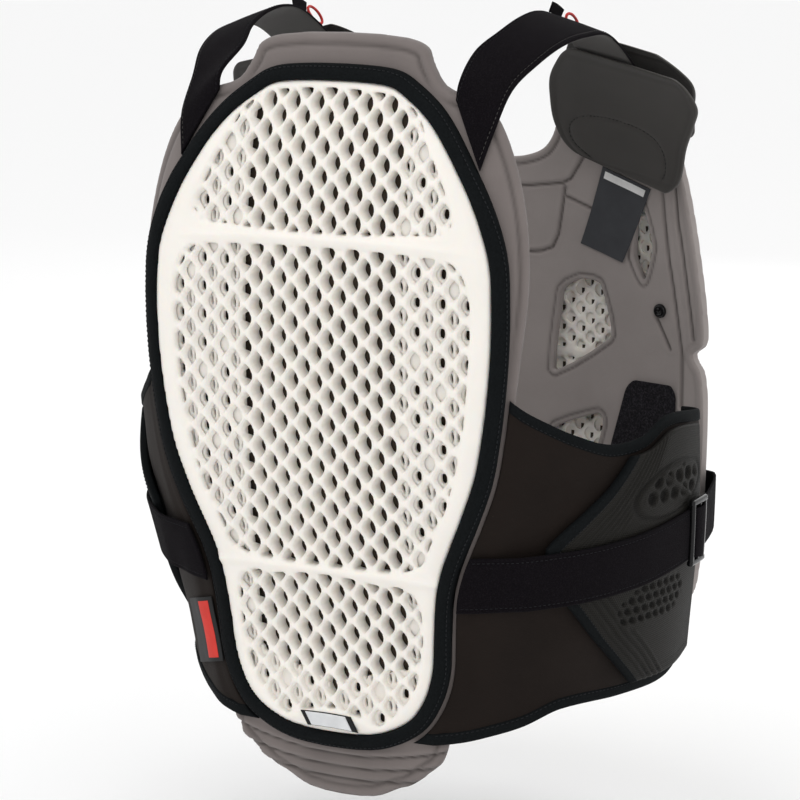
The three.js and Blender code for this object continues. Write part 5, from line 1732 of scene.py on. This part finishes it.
def pad_place(rows, side, inner):
    def place(u, v, d):
        at = mix(rows["down"][0], rows["down"][-1], v)
        start, end = read(rows, "down", at, "inner"), read(rows, "down", at, "outer")
        z = -BACK_HEIGHT * (at + read(rows, "down", at, "drop") * u)
        return front_point(side * CHEST_HALF * mix(start, end, u), z, inner + PAD_LAYER - d)
    return place


# The sewn line of the shoulder pads, by shares across and down
POCKET_SEAM = [(0.16, 0.9), (0.1, 0.78), (0.12, 0.66), (0.2, 0.575), (0.34, 0.54), (0.5, 0.55), (0.66, 0.59),
               (0.78, 0.66), (0.855, 0.76), (0.87, 0.86), (0.85, 0.91)]


def make_pad_layer(name, rows, inner, side, node):
    place = pad_place(rows, side, inner)
    size = (0.66 * CHEST_HALF, (rows["down"][-1] - rows["down"][0]) * BACK_HEIGHT)
    pocket = catmull(np.array(POCKET_SEAM), 8)

    def relief(u, v):
        away = from_border(u, v, size)
        from_pocket = near_line(u * size[0], v * size[1], pocket * size)
        return 0.9 * (smoothstep(6, 22, away) - hump(away - 5.5, 0.9) - hump(from_pocket, 0.9))

    body = sheet(name, size, with_round_corners(place, size, PAD_CORNER), (60, 54), 2.2, relief, PAD_LAYER)
    at = place(*pocket.T, 0)
    out = place(*pocket.T, 3.0) - at
    thread = stitches(f"{name}_thread", raised(at, out, PAD_LAYER + 0.4), out, 2.3, 1.3, 0.28)
    body = join(name, [body, thread])
    finish_piece(body, ("pad", "thread"), "pad", node)


# Hook patch, press stud and labels, and how far off the chest foam and the wing they lie
CHEST_LAY = 0.6
WING_LAY = 4.6
HOOK_PATCH = dict(inner=0.5, outer=0.86, top=0.508, low=0.62, lean=0.1, thickness=2.0)


def make_hook_patch(side, word):
    def place(u, v, d):
        share = mix(HOOK_PATCH["inner"], HOOK_PATCH["outer"], u) + HOOK_PATCH["lean"] * (1 - v) * (1 - u)
        z = -BACK_HEIGHT * mix(HOOK_PATCH["top"], HOOK_PATCH["low"], v)
        return front_point(side * share * CHEST_HALF, z, -CHEST_LAY - d)

    size = ((HOOK_PATCH["outer"] - HOOK_PATCH["inner"]) * CHEST_HALF,
            (HOOK_PATCH["low"] - HOOK_PATCH["top"]) * BACK_HEIGHT)
    body = sheet(f"hook_patch_face_{word}", size, with_round_corners(place, size, 11.0), (24, 24), 0.9,
                 thickness=HOOK_PATCH["thickness"])
    finish_piece(body, "pile", "webbing", f"hook_patch_{word}")


SNAP = dict(out=0.77, down=0.405)
SNAP_PROFILE = dict(
    radius=[0.02, 1.0, 1.6, 2.0, 3.6, 4.6, 5.3, 5.5, 5.5],
    height=[1.3, 1.3, 1.6, 2.3, 2.5, 2.3, 1.7, 0.9, -0.4],
)


def make_snap(side, word):
    turn = np.arange(28) * 2 * np.pi / 28
    rings = []
    for r, h in zip(SNAP_PROFILE["radius"], SNAP_PROFILE["height"]):
        x = side * SNAP["out"] * CHEST_HALF + r * np.cos(turn)
        z = -SNAP["down"] * BACK_HEIGHT + r * np.sin(turn)
        rings.append(front_point(x, z, -CHEST_LAY - h))
    rings = np.stack(rings)
    faces = grid_faces(len(rings), 28, wrap=True) + end_faces(len(rings), 28)
    piece = outward(make(f"chest_snap_stud_{word}", rings.reshape(-1, 3), faces))
    finish_piece(piece, "buckle", "buckle", f"chest_snap_{word}")


CARE_LABEL = dict(top=((-0.51, 0.207), (-0.753, 0.234)), foot=((-0.354, 0.321), (-0.573, 0.343)))
SIDE_LABEL = dict(top=((0.375, 0.757), (0.536, 0.779)), foot=((0.347, 0.846), (0.522, 0.87)))


def label_place(corners, place):
    (a, b), (c, e) = corners["top"], corners["foot"]

    def put(u, v, d):
        x = mix(mix(a[0], b[0], u), mix(c[0], e[0], u), v)
        y = mix(mix(a[1], b[1], u), mix(c[1], e[1], u), v)
        curl = 0.5 * np.sin(u * 5 + v * 3) + 0.4 * np.sin(v * 7)
        return place(x, y, d + np.maximum(curl, 0) * 0.6)
    return put


def label_patch(name, put, u, v, size, lift):
    """A plain band on a label, between shares u and v of it."""
    def place(a, b, d):
        return put(mix(u[0], u[1], a), mix(v[0], v[1], b), lift + d)
    area = (size[0] * (u[1] - u[0]), size[1] * (v[1] - v[0]))
    return sheet(name, area, place, (14, 6), 0.3, thickness=0.25)


def make_label(name, corners, place, size, count, strip, looks, node):
    """A bare label with one plain band; strip is the band's shares across and down."""
    put = label_place(corners, place)
    body = sheet(f"{name}_cloth", size, put, count, 0.7, thickness=0.9)
    band = label_patch(f"{name}_band", put, *strip, size, 0.85)
    piece = join(f"{name}_bare", [body, band])
    finish_piece(piece, looks, "label", node)


def on_chest(x, y, d):
    return front_point(x * CHEST_HALF, -y * BACK_HEIGHT, -CHEST_LAY - d)


def on_wing(x, y, d):
    return back_point(x * PLATE_WIDTH, -y * BACK_HEIGHT, WING_LAY + d)


def make_labels():
    make_label("care_label", CARE_LABEL, on_chest, (45.0, 66.0), (24, 30), ((0.08, 0.92), (0.04, 0.13)),
               ("label", "label_white"), "care_label")
    make_label("side_label", SIDE_LABEL, on_wing, (46.0, 50.0), (24, 24), ((0.1, 0.4), (0.06, 0.94)),
               ("label_black", "label_red"), "side_label")


# Studio and camera, from the photograph's viewpoint
CAMERA = dict(place=(-1.0759, 1.9492, 0.1211), turn=29.0, tilt=10.3, lens=135.0, sensor=36.0)
FLOOR_LEVEL = -0.64


def add_camera():
    camera = bpy.data.objects.new("camera", bpy.data.cameras.new("camera"))
    bpy.context.scene.collection.objects.link(camera)
    turn, tilt = math.radians(CAMERA["turn"]), math.radians(CAMERA["tilt"])
    way = Vector((math.sin(turn) * math.cos(tilt), -math.cos(turn) * math.cos(tilt), -math.sin(tilt)))
    camera.location = CAMERA["place"]
    camera.rotation_mode = "QUATERNION"
    camera.rotation_quaternion = way.to_track_quat("-Z", "Y")
    camera.data.lens = CAMERA["lens"]
    camera.data.sensor_width = CAMERA["sensor"]
    camera.data.clip_start = 0.05
    camera.data.clip_end = 60
    bpy.context.scene.camera = camera


def add_floor():
    material = shader("floor_pale", (0.93, 0.93, 0.93), 0.9)[0]
    ring = np.arange(64) * 2 * np.pi / 64
    points = np.stack([np.cos(ring), np.sin(ring), 0 * ring], axis=1) * 14000
    points[:, 2] = FLOOR_LEVEL * 1000
    floor = make("floor", points, [list(range(64))], smooth=False)
    floor.data.materials.append(material)


def add_light(name, place, aim, size, power):
    light = bpy.data.lights.new(name, "AREA")
    light.shape = "RECTANGLE"
    light.size, light.size_y = size
    light.energy = power
    lamp = bpy.data.objects.new(name, light)
    bpy.context.scene.collection.objects.link(lamp)
    lamp.location = place
    lamp.rotation_mode = "QUATERNION"
    lamp.rotation_quaternion = (Vector(aim) - Vector(place)).to_track_quat("-Z", "Y")


def add_studio():
    world = bpy.data.worlds.new("studio")
    bpy.context.scene.world = world
    world.use_nodes = True
    background = world.node_tree.nodes["Background"]
    background.inputs["Color"].default_value = (1, 1, 1, 1)
    background.inputs["Strength"].default_value = 1.0
    aim = (0, 0, -0.28)
    add_light("key", (-2.6, 2.2, 1.9), aim, (1.6, 1.6), 9)
    add_light("fill", (2.4, 2.6, 0.6), aim, (2.0, 2.0), 4)
    add_light("top", (0.3, 1.3, 2.6), aim, (2.0, 2.0), 16)
    add_light("front", (0.6, -3.0, 0.8), aim, (2.0, 2.0), 6)
    bpy.context.scene.view_settings.view_transform = "Standard"
    add_floor()


add_camera()
add_studio()
make_back_plate()
make_inner_layer()
make_binding()
make_back_foam()
make_badge()
make_chest_foam()
make_chest_plate()
make_labels()
for side, word in SIDES:
    make_wing(side, word)
    make_side_pad(side, word)
    make_belt(side, word)
    make_buckle(side, word)
    make_chest_strap(side, word)
    make_shoulder_strap(side, word)
    make_pull(side, word)
    make_pad_layer(f"flap_cloth_{word}", FLAP_ROWS, FLAP_DEPTH, side, f"shoulder_flap_{word}")
    make_pad_layer(f"cover_cloth_{word}", COVER_ROWS, COVER_DEPTH, side, f"shoulder_cover_{word}")
    make_hook_patch(side, word)
    make_snap(side, word)
